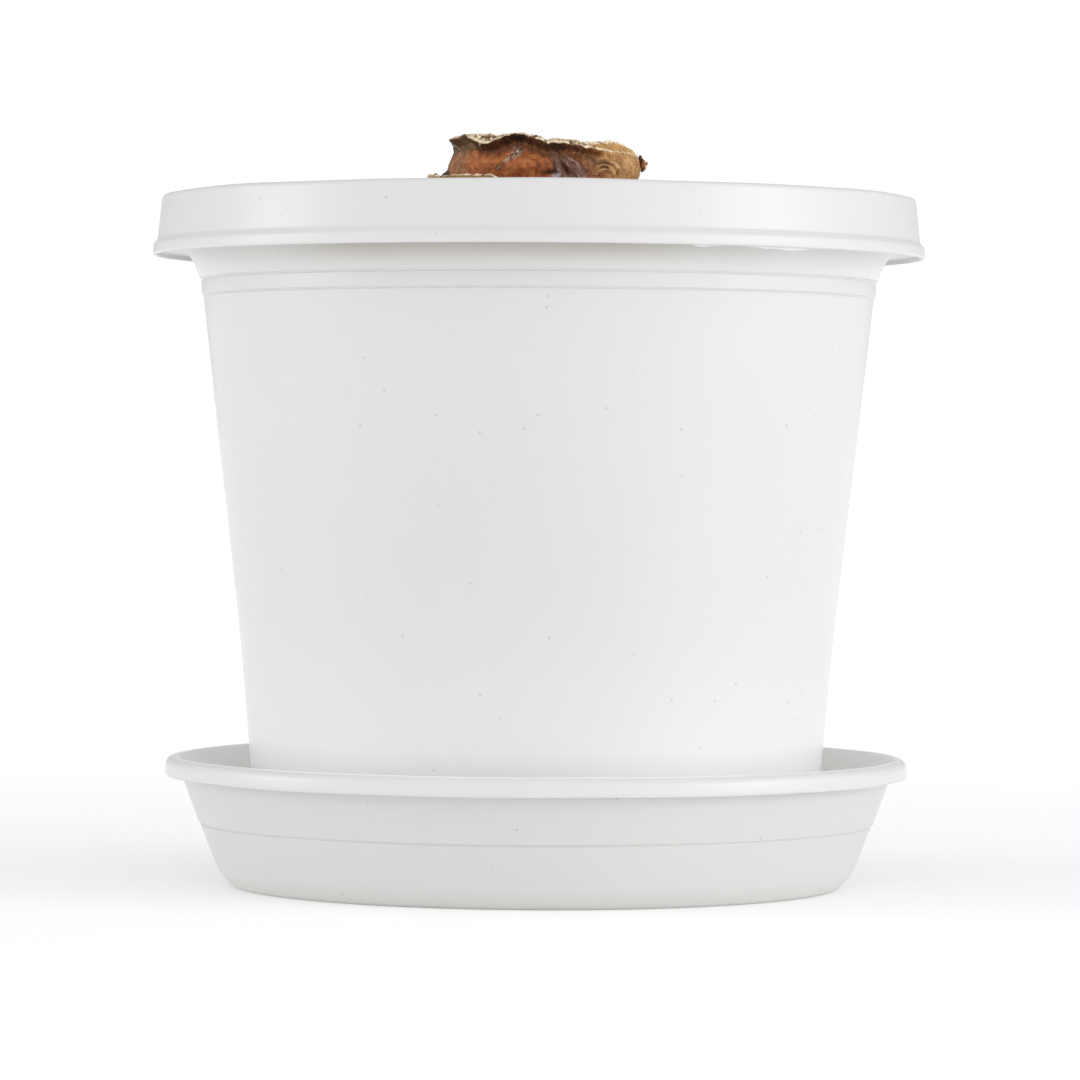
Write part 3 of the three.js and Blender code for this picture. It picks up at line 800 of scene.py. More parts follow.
def make_bulb_body(material):
    heights = [46.0, 47, 50, 54, 59, 65, 72, 80, 88, 96, 103, 109, *np.linspace(113.5, 141.8, 96)]
    angle, height = np.meshgrid(round_angles(420), heights)
    around = ring(9, angle, height * 0.05)
    veins = 0.16 * noise(around, 0.42, seed=2) + 0.10 * noise(around, 0.2, seed=3)
    creases = smooth(0.45, 0.8, np.abs(noise(around, 0.9, seed=6)))
    radius = bulb_radius(angle, height)
    lumps = rough(ring(radius, angle, height), 9, 3, seed=8)
    radius = radius + smooth(108, 116, height) * (veins - 0.3 * creases + 0.5 * lumps)
    rings = ring(radius, angle, height, bulb_lean(height))
    points, faces = capped(rings, [0, 0, 47.2], [NECK_SHIFT, 0, 142.6])
    add_piece("bulb_body", (points, faces), material, "bulb", SOFT_CREASE,
              **skin_layers(points, body_tint(points)))


def make_roots():
    """Fleshy roots going down and out from the basal plate."""
    random = np.random.default_rng(41)
    material = crumb_material("fleshy_root", (214, 200, 172), (232, 222, 200), 2.0, 0.2)
    bundle = Bundle()
    count, start_radius, start_height = 10, 12, 49
    t = np.linspace(0, 1, 18)
    for i in range(count):
        angle = TURN * (i + 0.35 * random.random()) / count
        out = random.uniform(26, 40) - start_radius
        down = random.uniform(10.5, 17) - start_height
        angle = angle + random.uniform(-0.4, 0.4) * t ** 1.5
        path = ring(start_radius + out * t ** 0.8, angle, start_height + down * t ** 1.15)
        bundle.add(*strand(path, (2.4 - 1.2 * t) * (1 + 0.08 * np.sin(23 * t)), 10))
    bundle.make("bulb_roots", material, "bulb", SOFT_CREASE)


# ---------------------------------------------------------------- neck

def skin_rows(bottom, sight, outer_top, inner_top, rows, edge_rows):
    """Heights of a skin's points in each column: up its outer face, finer above sight, over the
    cut and down its inner face. With them the depth in the skin, 0 outside to 1 inside."""
    low = np.linspace(0, 1, rows[0] + 1)[:-1]
    high = np.linspace(0, 1, rows[1])
    outside = np.hstack([bottom + (sight - bottom) * low + 0 * outer_top,
                         sight + (outer_top - sight) * high])
    slope = np.linspace(0, 1, edge_rows + 2)[1:-1]
    cut = outer_top + (inner_top - outer_top) * slope
    inside = bottom + (inner_top - bottom) * np.linspace(1, 0, sum(rows) // 2)
    height = np.hstack([outside, cut, inside])
    depth = np.concatenate([0 * outside[0], slope, 1 + 0 * inside[0]])
    even = len(depth) // 2 * 2
    return height[:, :even], depth[:even]


def cut_tint(spot, pits, spongy):
    """Cream flesh with tan drifts and brown pits, dark where it is spongy."""
    return paint(CREAM, (smooth(-0.1, 0.6, rough(spot, 1.8, 3, seed=18)) * 0.5, TAN),
                 (smooth(0.12, 0.45, pits), (112, 74, 42)),
                 (spongy * smooth(-0.35, 0.15, rough(spot, 0.8, 3, seed=19)), (122, 84, 50)),
                 (spongy * smooth(0.1, 0.5, noise(spot, 0.7, seed=20)), (56, 34, 20)))


def neck_skin(name, material, start, stop, columns, bottom, edge, crest, radius, thickness,
              tint, torn=0.22, sight=142.0, rows=(8, 58), edge_rows=9):
    """A dry skin standing round the neck. Its outer face ends at edge, and the torn cut slopes
    from there to crest on its inner face. edge, crest, thickness: of degrees; radius: of
    degrees, height and share of the height; tint: of degrees, height, distance below the edge
    and depth in the skin."""
    degrees = np.linspace(start, stop, columns)[:, None]
    line = stack(degrees * 0.36, 0, 0)
    outer_top = edge(degrees) + torn * rough(line, 1.5, 4, seed=len(name))
    inner_top = crest(degrees) + torn * rough(line, 1.1, 4, seed=len(name) + 60)
    inner_top = np.minimum(np.maximum(inner_top, outer_top + 0.12), NECK_TOP - 0.03)
    outer_top = np.minimum(outer_top, inner_top - 0.1)
    height, depth = skin_rows(bottom, sight, outer_top, inner_top, rows, edge_rows)
    outside, on_cut, inside = depth == 0, (depth > 0) & (depth < 1), depth == 1
    share = np.clip((height - bottom) / (outer_top - bottom), 0, 1)
    reach = radius(degrees, height, share) - thickness(degrees) * (0.55 + 0.45 * share) * depth
    spot = ring(reach, np.radians(degrees - 90), height, NECK_SHIFT)
    pits = rough(spot, 0.62, 3, seed=17)
    spot[..., 2] -= on_cut * 0.45 * np.clip(pits, 0, 1)
    below = outer_top - height
    rim = smooth(0.16, 0.0, below) * outside + smooth(0.35, 0.1, inner_top - height) * inside
    spongy = on_cut * smooth(0.35, 0.75, -below) * smooth(0.1, 0.35, inner_top - height)
    colours = paint(tint(degrees, height, below, depth),
                    (smooth(141.6, 138.0, height) * outside, body_tint(spot)),
                    (on_cut + rim, cut_tint(spot, pits, spongy)))
    add_piece(name, closed_sheet(spot), material, "bulb", SKIN_CREASE,
              **skin_layers(spot, colours))


def place_of(degrees, height, radius=20.0):
    """A point on a plain tube, where a skin's noise is looked up."""
    return stack(radius * np.sin(np.radians(degrees)), -radius * np.cos(np.radians(degrees)), height)


def front_edge(degrees):
    """Outer edge of the front skin's torn cut, with the corner where the skin is folded in."""
    return along([
        (-112, 148.4), (-94, 149.2), (-84, 149.8), (-76, 150.3), (-68, 150.55), (-60, 150.8),
        (-46, 151.15), (-42, 150.4), (-36.5, 149.35), (-31.5, 149.4), (-26.5, 149.85),
        (-20, 150.75), (-16, 151.0), (-11, 150.95), (-7, 150.5), (-2.5, 149.9), (2.5, 149.2),
        (5.5, 149.5), (9, 149.4), (17, 149.05), (26, 148.55), (35, 148.0), (46, 148.0),
        (61, 147.8), (71, 147.3), (84, 146.9), (92, 146.2), (98, 145.0),
    ], degrees)


def front_crest(degrees):
    """Inner edge of the front skin's torn cut."""
    return along([
        (-112, 149.0), (-94, 149.8), (-84, 150.35), (-76, 150.8), (-68, 151.1), (-62, 151.25),
        (-46, 151.33), (-38, 151.36), (-31, 151.25), (-27, 151.05), (-22, 151.2), (-16, 151.36),
        (-12, 151.36), (-8.5, 151.1), (-2.5, 150.7), (2.5, 149.9), (5.5, 150.35), (12, 150.15),
        (20, 149.95), (26, 149.5), (35, 148.5), (46, 148.25), (61, 148.0), (71, 147.5),
        (84, 147.1), (92, 146.4), (98, 145.2),
    ], degrees)


def front_thickness(degrees):
    return along([(-112, 0.5), (-76, 0.6), (-66, 1.0), (-50, 1.3), (-37, 2.1), (-26, 1.7),
                  (-16, 1.1), (0, 1.0), (30, 0.9), (38, 0.5), (98, 0.45)], degrees)


NOTCH = (2.2, 149.1)       # x and height, in the front edge
SWIRL = (13.0, 143.0)      # middle of the curved creases
SMEAR = (-6.2, 146.0)      # middle of the pale smear


def from_notch(x, height):
    """Degrees to the right of straight down, and distance."""
    across, down = x - NOTCH[0], NOTCH[1] - height
    return np.degrees(np.arctan2(across, np.maximum(down, 0.05))), np.hypot(across, down)


def stroke_field(x, height):
    """Creases that fan out from under the notch, down and to the right: the crease height and
    the share of the place that they fill."""
    turn, away = from_notch(x, height)
    place = stack(turn * 0.085, away * 0.22, 0)
    lines = 1.6 * noise(place, 0.62, seed=33) + 0.6 * noise(place, 0.26, seed=34)
    return lines, band(1, 11, 52, 66, turn) * band(0.9, 2.2, 8.5, 11.5, away)


def swirl_field(x, height):
    """Soft curved creases at the lower right of the front skin, told in the same way."""
    across, up = x - SWIRL[0], height - SWIRL[1]
    away = np.hypot(across, up)
    turn = np.arctan2(up, across)
    lines = 1.6 * noise(stack(away * 1.1 - 0.5 * turn, turn * 0.6, 0), 0.5, seed=36)
    open_side = smooth(-0.8, 0.2, np.sin(turn - 0.5))
    return lines, band(0.5, 1.2, 2.4, 4.4, away) * open_side


def smear_field(x, height, mottle):
    """A slanting smear: the share of the place that it fills, and the distance along it."""
    across, up = x - SMEAR[0], height - SMEAR[1]
    forward = across * 0.73 + up * 0.68
    side = up * 0.73 - across * 0.68 + 0.3 * mottle
    width = 0.55 + 0.35 * smooth(0.4, 1.8, forward)
    return np.exp(-(side / width) ** 2) * smooth(3.3, 2.3, np.abs(forward)), forward


def near(x, height, centre, size):
    """1 at centre (x, z), falling off over size (width, height)."""
    return np.exp(-((x - centre[0]) / size[0]) ** 2 - ((height - centre[1]) / size[1]) ** 2)


def front_form(degrees, height):
    """Bulges above the pot's rim line, sinks under the torn edge and leans out along it."""
    girth = along([(-100, 20.8), (-80, 20.8), (-50, 20.3), (0, 20.6), (50, 20.1), (90, 19.2)],
                  degrees)
    bulge = along([(-80, 0.0), (-60, 0.1), (-20, 0.7), (10, 0.4), (50, 0.6), (85, 0.5)], degrees)
    waist = along([(-90, 0.0), (-60, -0.5), (-44, -0.8), (-20, -1.6), (15, -1.3), (45, -0.3),
                   (85, 0.3)], degrees)
    taper = along([(-112, 3.0), (-76, 2.9), (-60, 1.3), (-46, 0.2), (-40, 0)], degrees)
    lean = along([(-112, 0.1), (-86, 0.3), (-77, 1.3), (-68, 2.2), (-46, 2.0), (-10, 2.1),
                  (15, 1.6), (36, 0.6), (60, 0.1)], degrees)
    foot = band(141.0, 142.2, 143.3, 144.9, height) * smooth(-66, -82, degrees)
    return (girth - taper * np.clip((height - 141.6) / 6.8, 0, 1)
            + 1.4 * smooth(142.2, 137.5, height) + 0.8 * foot
            + bulge * band(142.4, 144.6, 145.4, 147.2, height)
            + waist * smooth(145.4, 147.8, height)
            + lean * smooth(1.7, 0.1, front_edge(degrees) - height))


def front_radius(degrees, height, _):
    """The front skin's form with its creases, folds and grain."""
    profile = front_form(degrees, height)
    spot = place_of(degrees, height)
    x = spot[..., 0] + NECK_SHIFT
    strokes, stroked = stroke_field(x, height)
    swirls, swirled = swirl_field(x, height)
    profile = profile + 0.22 * stroked * strokes + 0.32 * swirled * swirls
    profile = profile - 0.7 * near(x, height, (2.6, 143.2), (1.1, 0.5))     # the fold
    for middle, width, slant, deep in ((66, 1.1, 2, 0.35), (71, 0.9, 1, 0.4), (58, 0.8, -2, 0.2)):
        off = degrees - middle - slant * (height - 145)
        profile = profile - deep * np.exp(-(off / width) ** 2)
    folded = 0.55 * np.exp(-((degrees + 45) / 7.0) ** 2) - 0.45 * np.exp(-((degrees + 58) / 6.0) ** 2)
    profile = profile + folded * smooth(147.8, 148.8, height)
    return (profile + 0.26 * rough(spot, 3.0, 3, seed=4) + 0.13 * rough(spot, 0.9, 3, seed=5)
            + 0.05 * noise(spot, 0.3, seed=6))


def large_patches(x, height, drift, mottle, strokes, stroked):
    """Grey brown on the left, lilac creases, and tan on the right with its swirl."""
    # Purple-grey is the skin's own; the lilac on the crease ridges is painted highlight and the dark
    # in their grooves painted shade.
    lilac = paint(PURPLE, (0.8 * smooth(0.5, 1.3, strokes), (172, 148, 144)),
                  (0.9 * smooth(-0.1, -0.9, strokes), (66, 42, 30)))
    tan = paint(TAN * 1.08, (0.8 * smooth(0.0, 0.8, mottle + drift), (220, 176, 120)),
                (0.6 * smooth(0.0, -0.7, mottle + 0.4 * drift), (154, 106, 62)))
    swirls, swirled = swirl_field(x, height)
    turn, _ = from_notch(x, height)
    right = smooth(50, 66, turn + 4 * drift) * smooth(8.0, 10.5, x)
    return [
        (0.85 * smooth(-13.0, -15.4, x + 0.4 * mottle), GREY_BROWN * (1 + 0.5 * mottle[..., None])),
        (0.92 * stroked, lilac),
        (right, tan),
        # painted shade in the swirl's grooves and painted highlight on its ridges
        (0.9 * right * swirled * smooth(0.0, -0.7, swirls), (104, 68, 40)),
        (0.6 * right * swirled * smooth(0.3, 1.0, swirls), (222, 182, 130)),
    ]


def shade_under_edge(x, below, drift, mottle, grain, stroked):
    """Brown and then dark towards the torn edge, darkest left of the notch; orange brown at
    its right end."""
    grit = mottle + 0.7 * grain
    reach = 4.2 - 0.9 * smooth(-6, -9, x)
    brown = smooth(reach, reach - 1.7, below + 0.7 * drift + 0.3 * mottle)
    dark = smooth(1.9, 1.0, below + 0.35 * mottle)
    return [
        (0.85 * brown * smooth(12.5, 10.5, x) * (1 - 0.75 * stroked),
         paint((96, 60, 34), (smooth(0.1, 0.8, mottle + 0.3 * grain), (152, 98, 58)))),
        (dark * smooth(2.6, -0.4, x) * (0.97 - 0.5 * smooth(-5, -9, x) - 0.25 * smooth(-2, 0.5, x)),
         paint((54, 32, 17), (smooth(-0.3, 0.9, grit), (122, 76, 42)))),
        (0.9 * dark * band(-0.4, 2.6, 8.6, 10.4, x),
         paint((92, 58, 36), (smooth(-0.2, 0.8, grit), (134, 88, 56)))),
        (0.85 * smooth(1.7, 0.9, below + 0.2 * mottle) * band(8.6, 10.0, 12.0, 13.2, x),
         (116, 56, 8)),
    ]


def small_marks(spot, x, height, drift, mottle, grain):
    """The folded facet, the smear with its flecks, and single spots and stains."""
    facet = smooth(148.0, 148.5, height + 0.1 * mottle) * smooth(-11.7, -12.5, x)
    smear, forward = smear_field(x, height, mottle)
    flecks = smooth(-0.25, 0.25, noise(spot, 0.42, seed=44) + 0.4 * grain)
    return [
        (0.92 * facet, paint((122, 95, 60), (smooth(0.0, 0.8, mottle), (142, 115, 76)),
                             (smooth(0.0, -0.7, mottle + 0.5 * drift), (70, 50, 30)))),
        (0.8 * smear, paint((96, 72, 46), (flecks * smooth(-1.5, 0.5, forward), (226, 212, 190)))),
        # an orange spot in the smear
        (0.95 * near(x, height, (-7.3, 145.8), (0.65, 0.65)) * smooth(-0.7, 0.1, mottle),
         (206, 128, 18)),
        # the shade in the fold, and the wedge at the left end
        (near(x, height, (1.9, 143.35), (2.0, 0.42)), (62, 35, 20)),
        (0.9 * smooth(-17.5, -18.0, x + 0.8 * (height - 143.5)) * smooth(145.0, 144.3, height),
         (78, 46, 28)),
        # a pale spot under the fold, and a warm stretch just above the pot's rim line
        (1.4 * near(x, height, (3.2, 142.8), (0.65, 0.4)), (226, 206, 204)),
        (0.3 * smooth(143.6, 142.8, height + 0.4 * mottle) * band(-12, -8, 1, 4, x),
         (142, 66, 30)),
    ]


def front_tint(degrees, height, below, depth):
    spot = place_of(degrees, height)
    x = spot[..., 0] + NECK_SHIFT
    drift = rough(spot, 3.2, 3, seed=40)
    mottle = rough(spot, 0.9, 3, seed=41)
    grain = noise(spot, 0.33, seed=42) + 0.6 * noise(spot, 0.2, seed=43)
    strokes, stroked = stroke_field(x, height)
    tint = paint(
        TERRACOTTA,
        (0.8 * smooth(0.05, 0.8, mottle + 0.5 * drift), (208, 134, 78)),
        (0.8 * smooth(0.0, -0.8, mottle + 0.4 * drift), (112, 62, 32)),
        *large_patches(x, height, drift, mottle, strokes, stroked),
        *shade_under_edge(x, below, drift, mottle, grain, stroked),
        *small_marks(spot, x, height, drift, mottle, grain),
        (depth * 0.8, (150, 104, 66)),
    )
    return tint * (1 + 0.20 * grain[..., None])


def plain_tint(outside, inside):
    """A tint of one colour that drifts, darker down in the shade and inside."""
    def tint(degrees, height, below, depth):
        drift = rough(place_of(degrees, height), 3.5, 3, seed=50)
        shade = 1 + 0.25 * drift[..., None]
        return paint(outside * shade, (0.5 * depth * smooth(2.0, 6.0, below), outside * 0.45),
                     (depth + 0 * below, inside * shade))
    return tint


def right_tint(degrees, height, below, depth):
    """Pale in front, turning brown towards the back."""
    front = plain_tint(linear(220, 170, 104), TAN * 0.8)(degrees, height, below, depth)
    back = plain_tint(BACK_BROWN, TAN * 0.7)(degrees, height, below, depth)
    mottle = rough(place_of(degrees, height), 4.0, 3, seed=51)
    return paint(front, (smooth(84, 128, degrees + 26 * mottle), back))


def ring_radius(stations, wave, count, lean):
    """A skin that stands nearly upright, wavy round the neck, its edge leaning by lean."""
    def radius(degrees, height, share):
        spot = place_of(degrees, height)
        around = wave * np.cos(np.radians(count * degrees)) + 0.3 * rough(spot, 3.2, 3, seed=count)
        flare = 1.3 * smooth(142.2, 137.5, height) + lean * smooth(0.7, 1.0, share)
        return along(stations, degrees) + around + flare
    return radius


def wavy(mean, wave=0.0, count=0):
    """A thickness that swells count times round the neck."""
    return lambda degrees: mean + wave * np.cos(np.radians(count * degrees))


def raised(edge, rise):
    return lambda degrees: edge(degrees) + rise


def right_edge(degrees):
    return along([
        (18, 148.6), (24, 149.0), (29, 149.45), (33, 149.3), (41, 149.5), (46, 149.9),
        (54, 149.7), (60, 149.4), (67, 148.8), (76, 148.1), (90, 147.4), (104, 147.6), (128, 148.7),
        (158, 147.9),
    ], degrees)


def back_edge(degrees):
    return along([(148, 148.3), (175, 149.7), (205, 148.7), (232, 149.6), (262, 147.0)], degrees)


def inner_edge(degrees):
    turn = np.radians(degrees)
    return 148.2 + 0.5 * np.cos(3 * turn) + 0.35 * np.cos(7 * turn + math.radians(40))


def collar_edge(degrees):
    return along([(-118, 142.0), (-106, 143.45), (-92, 143.7), (-84, 143.65), (-76, 143.5),
                  (-70, 143.45), (-64, 143.05), (-57, 143.0), (-50, 143.1), (-30, 142.85),
                  (-20, 141.6), (-12, 140.8)], degrees)


def collar_radius(degrees, height, _):
    upright = along([(134.4, 23.9), (139.4, 22.3), (141.4, 22.0), (143.5, 23.4)], height)
    drawn_in = smooth(-72, -30, degrees) * smooth(138.5, 141, height)
    return upright - drawn_in + 0.2 * rough(place_of(degrees, height), 2.5, 3, seed=61)


def make_neck(paper):
    neck_skin("neck_front_skin", paper, -112, 98, 620, NECK_FOOT, front_edge, front_crest,
              front_radius, front_thickness, front_tint, torn=0.26)
    neck_skin("neck_right_skin", paper, 18, 158, 380, NECK_FOOT, right_edge, raised(right_edge, 0.5),
              ring_radius([(18, 17.6), (50, 18.3), (88, 19.0), (112, 19.7), (158, 19.3)],
                          0.2, 10, 0.45),
              wavy(0.7, 0.12, 5), right_tint, torn=0.16, rows=(8, 36))
    neck_skin("neck_back_skin", paper, 148, 262, 300, NECK_FOOT, back_edge, raised(back_edge, 0.5),
              ring_radius([(148, 18.8), (200, 19.9), (235, 18.6), (262, 17.0)], 0.3, 11, 0.8),
              wavy(0.6, 0.12, 7), plain_tint(BACK_BROWN, TAN * 0.7), torn=0.4, rows=(8, 36))
    neck_skin("neck_inner_skin", paper, -30, 322, 520, 139.5, inner_edge, raised(inner_edge, 0.3),
              ring_radius([(-30, 17.25), (322, 17.25)], 0.22, 5, 0.25),
              wavy(0.45), plain_tint(TAN * 0.9, OCHRE * 0.8), torn=0.5, rows=(3, 24), edge_rows=5)
    neck_skin("neck_torn_collar", paper, -118, -12, 360, 134.4, collar_edge,
              raised(collar_edge, 0.25), collar_radius,
              wavy(0.5), plain_tint(linear(240, 196, 130), TAN), torn=0.2, sight=141.0,
              rows=(8, 16), edge_rows=5)


def core_face(angle, part):
    """The cut face at shares part of its radius: its points, wall (0 in a groove, 1 on a leaf
    base) and each leaf base's number."""
    radius = CORE_RADIUS * part
    spot = ring(radius, angle, 0.0)
    x, y = spot[..., 0], spot[..., 1]
    oval = np.hypot(x - 1.6 * (1 - part), (y + 1.1 * (1 - part)) * (1.28 - 0.28 * part))
    warp = oval + 0.9 * rough(spot, 8, 2, seed=70) + 0.30 * noise(spot, 2.1, seed=71)
    turns = warp / 2.0 + 0.30 * np.sin(warp * 1.15)
    number = np.floor(turns)
    gap = 0.16 + 0.14 * noise(stack(number * 3.1, angle * 1.3, 0), 1.0, seed=76)
    wall = band(0.0, 0.12, 1 - gap, 1.0, turns - number)
    own = 0.75 * np.sin(number * 2.4 + 1.1) + 0.45 * np.cos(2 * angle + number * 1.7)
    own = own + 0.5 * noise(stack(number * 5.3, angle * 2.2, 0), 1.0, seed=77)
    tilt = -0.03 * radius * np.cos(angle - 0.5)
    spongy = 0.26 * rough(spot, 1.1, 4, seed=72) + 0.14 * noise(spot, 0.35, seed=73)
    height = CORE_TOP - 0.4 + tilt + own - 2.2 * (1 - wall) + spongy * wall
    return stack(x + NECK_SHIFT, y, height), wall, number


def make_core(material):
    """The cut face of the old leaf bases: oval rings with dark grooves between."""
    angles = round_angles(440)
    angle, part = np.meshgrid(angles, np.linspace(1, 0.02, 96))
    face, wall, number = core_face(angle, part)
    sides = [ring(CORE_RADIUS * 1.01, angles, z, NECK_SHIFT) for z in (138.0, 141.0, 143.5)]
    middle = [NECK_SHIFT, 0, face[-1, :, 2].mean()]
    points, faces = capped([*sides, *face], [NECK_SHIFT, 0, 138.0], middle)

    def whole(values, first, last):
        """A value for every point, from those of the cut face and of the two end points."""
        return np.concatenate([np.zeros(len(sides) * len(angles)), values.ravel(), [first, last]])

    wall = whole(wall, 0, 0.5)
    crest = smooth(0.2, 0.9, wall)
    leaf = whole(np.sin(number * 4.7) * 0.5 + 0.5, 1, 0)
    drift = rough(points, 2.2, 3, seed=75)
    tint = paint(DARK_BROWN * 0.8, (crest, (196, 158, 108)), (crest * leaf * 0.7, (150, 104, 64)),
                 (smooth(0.2, 0.8, drift) * wall * 0.6, (226, 200, 156)),
                 (smooth(-0.1, -0.7, drift) * wall * 0.7, (104, 70, 44)))
    tint = tint * (1 - 0.2 * smooth(0.5, 1.0, whole(part, 1, 0))[:, None])
    add_piece("neck_core", (points, faces), material, "bulb", SOFT_CREASE,
              **skin_layers(points, tint))


def front_fibre(degrees, height, heading, length, thickness, lift, curl, steps=9):
    """A strand that creeps over the front skin."""
    path = []
    for i in range(steps):
        radius = front_radius(degrees, height, 1.0) + lift + 0.12 * math.sin(i * 1.3)
        path.append(ring(radius, math.radians(degrees - 90), height, NECK_SHIFT))
        degrees += length / steps * math.cos(heading) / 0.35
        height += length / steps * math.sin(heading)
        heading += curl
    return strand(path, np.full(steps, thickness), 5)


def make_neck_fibres():
    """Broken leaf fibres on the cut neck."""
    random = np.random.default_rng(3)
    material = crumb_material("dry_fibre", (112, 88, 62), (216, 202, 178), 1.0, 0.05)
    bundle = Bundle()
    for place in (
        (-17.2, 147.3, 0.5, 0.9), (-15.2, 147.5, -0.3, 0.8), (-12.8, 147.4, 0.6, 0.8),
        (-17.6, 146.5, 1.2, 0.9), (-25.6, 144.0, 0.8, 1.1), (-68, 149.7, -0.9, 1.7),
        (-74, 149.7, -0.42, 3.6), (-71, 149.3, -0.5, 2.6), (-38, 148.2, 0.9, 1.6),
        (-36, 148.9, 0.7, 0.9),
    ):
        thickness = random.uniform(0.05, 0.08)
        curl = random.uniform(-0.08, 0.08)
        bundle.add(*front_fibre(*place, thickness, 0.25, curl), 0.75)
    for _ in range(40):
        place = (random.uniform(-100, 90), random.uniform(142.6, 146.8),
                 random.uniform(0.9, 2.2), random.uniform(0.4, 1.3))
        shade = random.uniform(0.0, 0.35)
        curl = random.uniform(-0.1, 0.1)
        bundle.add(*front_fibre(*place, 0.03, 0.03, curl), shade)
    bundle.make("neck_fibres", material, "bulb", SOFT_CREASE)


def make_broken_tip():
    """The brittle dark tip at the right end of the front skin: lumps, and slivers on them."""
    random = np.random.default_rng(8)
    material = crumb_material("brittle_tip", (104, 56, 26), (216, 146, 82), 0.7, 0.2)
    bundle = Bundle()
    ball, faces = icosphere(3)
    for degrees, height, size, out, shade in (
        (84, 147.3, 0.5, 19.7, 0.0), (86, 146.9, 0.65, 19.9, 0.1), (88, 146.5, 0.8, 20.2, 0.45),
        (87, 145.9, 0.85, 20.35, 0.7), (89, 145.5, 0.7, 20.2, 0.85), (90, 145.1, 0.45, 20.1, 0.5),
        (85, 147.6, 0.3, 19.9, 0.0), (88, 146.4, 0.4, 21.0, 0.9),
    ):
        lumps = 1 + 0.45 * noise(ball * 2.0 + degrees, 1.0) + 0.2 * noise(ball * 5.0, 1.0, seed=3)
        body = ball * lumps[:, None] * np.array([0.6, 0.9, 1.0]) * size
        bundle.add(body + ring(out, math.radians(degrees - 90), height, NECK_SHIFT), faces, shade)
    t = np.linspace(0, 1, 7)[:, None]
    for _ in range(16):
        angle = math.radians(random.uniform(80, 95) - 90)
        base = ring(20.3, angle, random.uniform(145.0, 147.0), NECK_SHIFT)
        way = np.array([random.uniform(0.2, 0.9), random.uniform(-0.3, 0.3),
                        random.uniform(-0.7, 0.4)])
        path = base + way * t * random.uniform(0.6, 1.5) + t * t * [0, 0, -0.25]
        bundle.add(*strand(path, np.linspace(0.07, 0.03, 7), 4), random.random())
    bundle.make("broken_tip", material, "bulb", sharp_degrees=70)


def make_flake(material, seed, middle, half, low, high):
    columns, rows = 104, 30
    degrees = np.linspace(middle - half, middle + half, columns)[:, None]
    off = np.abs(degrees - middle) / half
    bow = np.sqrt(np.clip(1 - off ** 2, 0, 1))
    tear = rough(stack(degrees * 0.4, 0, 0), 3.0, 4, seed=80 + seed)
    top = low + (high - low) * (0.25 + 0.75 * bow) + 1.5 * tear
    share = np.concatenate([np.linspace(0, 1, rows), np.linspace(1, 0, rows)])
    depth = np.repeat([0.0, 1.0], rows)
    height = low - 4 + (top - low + 4) * share
    angle = np.radians(degrees - 90)
    curl = 1.5 * smooth(0.72, 1.0, share) ** 2 + 1.0 * smooth(0.75, 1.0, off) ** 2
    spot = place_of(degrees, height, 30)
    ripple = 0.22 * rough(spot, 3.0, 3, seed=90 + seed)
    radius = bulb_radius(angle, height) + 0.75 + curl + ripple - 0.22 * depth
    loops = ring(radius, angle, height, bulb_lean(height))
    tint = paint(CHESTNUT * (1.1 + 0.3 * rough(spot, 5, 3, seed=seed)[..., None]),
                 (0.5 * smooth(0.9, 1.0, share) + 0 * height, TAN),
                 (0.8 * depth + 0 * height, TAN * 0.7))
    add_piece("skin_flake_%d" % seed, closed_sheet(loops), material, "bulb", SKIN_CREASE,
              **skin_layers(loops, tint))


def make_flakes(material):
    """Loose flakes of outer skin peeling from the bulb's shoulder, with torn edges."""
    flakes = ((-70, 34, 119.0, 131.5), (18, 30, 117.5, 129.0), (112, 38, 119.5, 133.0),
              (196, 32, 117.0, 127.5), (-20, 20, 124.5, 135.5), (160, 24, 126.0, 136.5))
    for seed, place in enumerate(flakes, 1):
        make_flake(material, seed, *place)


# ---------------------------------------------------------------- stage, light and camera

FLOOR_SIDE = 24000         # mm
FLOOR_GLOW = 0.18          # next to the pot
FAR_GLOW = 0.46            # where the table meets the wall
GLOW_COLOUR = (1, 0.97, 0.93, 1)
STUDIO_COLOUR = (0.965, 0.985, 1.02)
WALL_LIGHT = 1.04
CEILING_LIGHT = 0.83
BACK_SHARE = 0.58          # of its light that the wall behind the pot throws on it
LIGHT_DISTANCE, LIGHT_TALL, AIM_HEIGHT = 1.6, 0.6, 0.09      # metres


def make_stage():
    """A pale lit table: farther from the pot it glows as white as the studio's wall."""
    shader = Shader("pale_paper", Roughness=0.9, Specular_IOR_Level=0.1, Emission_Color=GLOW_COLOUR)
    pale = shader.blend(shader.noise(60, detail=2), (0.93, 0.93, 0.93), (0.95, 0.95, 0.95))
    shader.link(pale, shader.surface.inputs["Base Color"])
    length = shader.node("ShaderNodeVectorMath", operation="LENGTH")
    shader.link(shader.place, length.inputs[0])
    glow = shader.ramp(length.outputs["Value"], 0.10, 1.1, FLOOR_GLOW, FAR_GLOW)
    shader.link(glow, shader.surface.inputs["Emission Strength"])
    half = FLOOR_SIDE / 2
    corners = [(-half, -half, 0), (half, -half, 0), (half, half, 0), (-half, half, 0)]
    floor = put_mesh("floor", corners, [(0, 1, 2, 3)])
    floor.data.materials.append(shader.material)


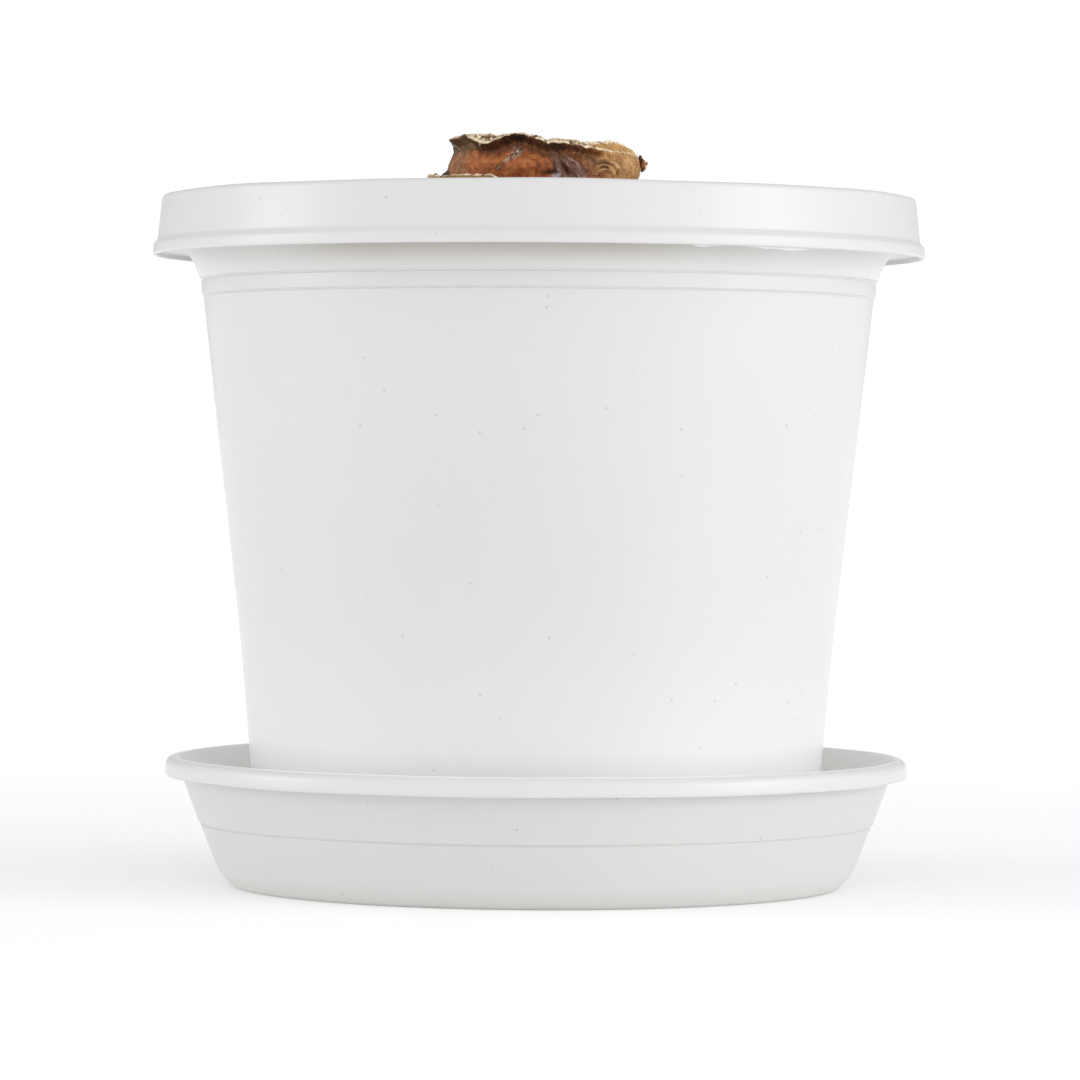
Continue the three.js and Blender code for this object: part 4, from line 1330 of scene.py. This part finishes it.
def soft_box(name, azimuth, elevation, width, power):
    """A rectangular light that looks at the pot. Azimuth runs from the front towards +X."""
    data = bpy.data.lights.new(name, "AREA")
    data.shape = "RECTANGLE"
    data.size, data.size_y = width, LIGHT_TALL
    data.energy = power
    data.color = STUDIO_COLOUR
    light = put(name, data)
    azimuth, elevation = math.radians(azimuth), math.radians(elevation)
    way = Vector((math.sin(azimuth) * math.cos(elevation),
                  -math.cos(azimuth) * math.cos(elevation), math.sin(elevation)))
    light.location = way * LIGHT_DISTANCE + Vector((0, 0, AIM_HEIGHT))
    light.rotation_euler = way.to_track_quat("Z", "Y").to_euler()


def make_world():
    """A studio with white walls all round and a dimmer ceiling. The wall behind the pot lights
    it less than it shows."""
    world = bpy.data.worlds.new("studio")
    world.use_nodes = True
    nodes = Nodes(world.node_tree, "Generated")
    wall = nodes.ramp(nodes.axis("Z"), 0.22, 0.42, WALL_LIGHT, CEILING_LIGHT)
    behind = nodes.ramp(nodes.axis("Y"), 0.0, 0.75, 1.0, BACK_SHARE)
    seen = nodes.node("ShaderNodeLightPath").outputs["Is Camera Ray"]
    strength = nodes.math("MULTIPLY", wall, nodes.math("MAXIMUM", behind, seen))
    background = nodes.tree.nodes["Background"]
    nodes.link(STUDIO_COLOUR, background.inputs["Color"])
    nodes.link(strength, background.inputs["Strength"])
    bpy.context.scene.world = world


def make_lights():
    for light in (
        ("key_right", 66, 12, 0.8, 4.4), ("side_right", 80, 12, 0.8, 1.8),
        ("peak_right", 50, 12, 0.45, 0.5), ("window", 36, 14, 0.22, 0.6),
        ("front", 20, 14, 0.22, 0.6), ("fill_left", -82, 12, 0.8, 4.5),
    ):
        soft_box(*light)


CAMERA_PLACE = (0.56, -1063.9, 85.7)     # mm
CAMERA_DROOP = 0.846                     # degrees that it looks down
CAMERA_ROLL = 0.334
FOCAL_LENGTH, SENSOR_WIDTH = 174.82, 36


def make_camera():
    data = bpy.data.cameras.new("camera")
    data.lens = FOCAL_LENGTH
    data.sensor_width = SENSOR_WIDTH
    data.clip_start = 0.05
    data.clip_end = 60
    camera = put("camera", data)
    turn = Matrix.Rotation(math.radians(90 - CAMERA_DROOP), 4, "X")
    roll = Matrix.Rotation(math.radians(CAMERA_ROLL), 4, "Z")
    camera.matrix_world = Matrix.Translation(Vector(CAMERA_PLACE) * MM) @ turn @ roll
    bpy.context.scene.camera = camera


# ---------------------------------------------------------------- making

make_camera()
make_world()
make_lights()
make_stage()

# The pot's lower colour is lighter: painted light where the saucer shades its lower wall. The
# saucer's lower colour is darker: painted shade below its lip.
POT_PLASTIC = white_plastic("pot_plastic", (0.684, 0.676, 0.656), (0.872, 0.862, 0.840), 30.0, 12.0)
SAUCER_PLASTIC = white_plastic("saucer_plastic", (0.730, 0.720, 0.698), (0.658, 0.648, 0.625),
                               21.0, 1.5)
make_pot(POT_PLASTIC)
make_flash(POT_PLASTIC)
make_saucer(SAUCER_PLASTIC)

make_soil(soil_material())
make_crumbs()
make_soil_fibres()

TUNIC = dry_skin_material("bulb_tunic", 0.34, 0.6, 0.30, 0.5)
PAPER = dry_skin_material("papery_skin", 0.48, 0.72, 0.10, 0.2)
make_bulb_body(TUNIC)
make_roots()
make_flakes(TUNIC)
make_neck(PAPER)
make_core(PAPER)
make_neck_fibres()
make_broken_tip()

bpy.context.scene.view_settings.view_transform = "Standard"
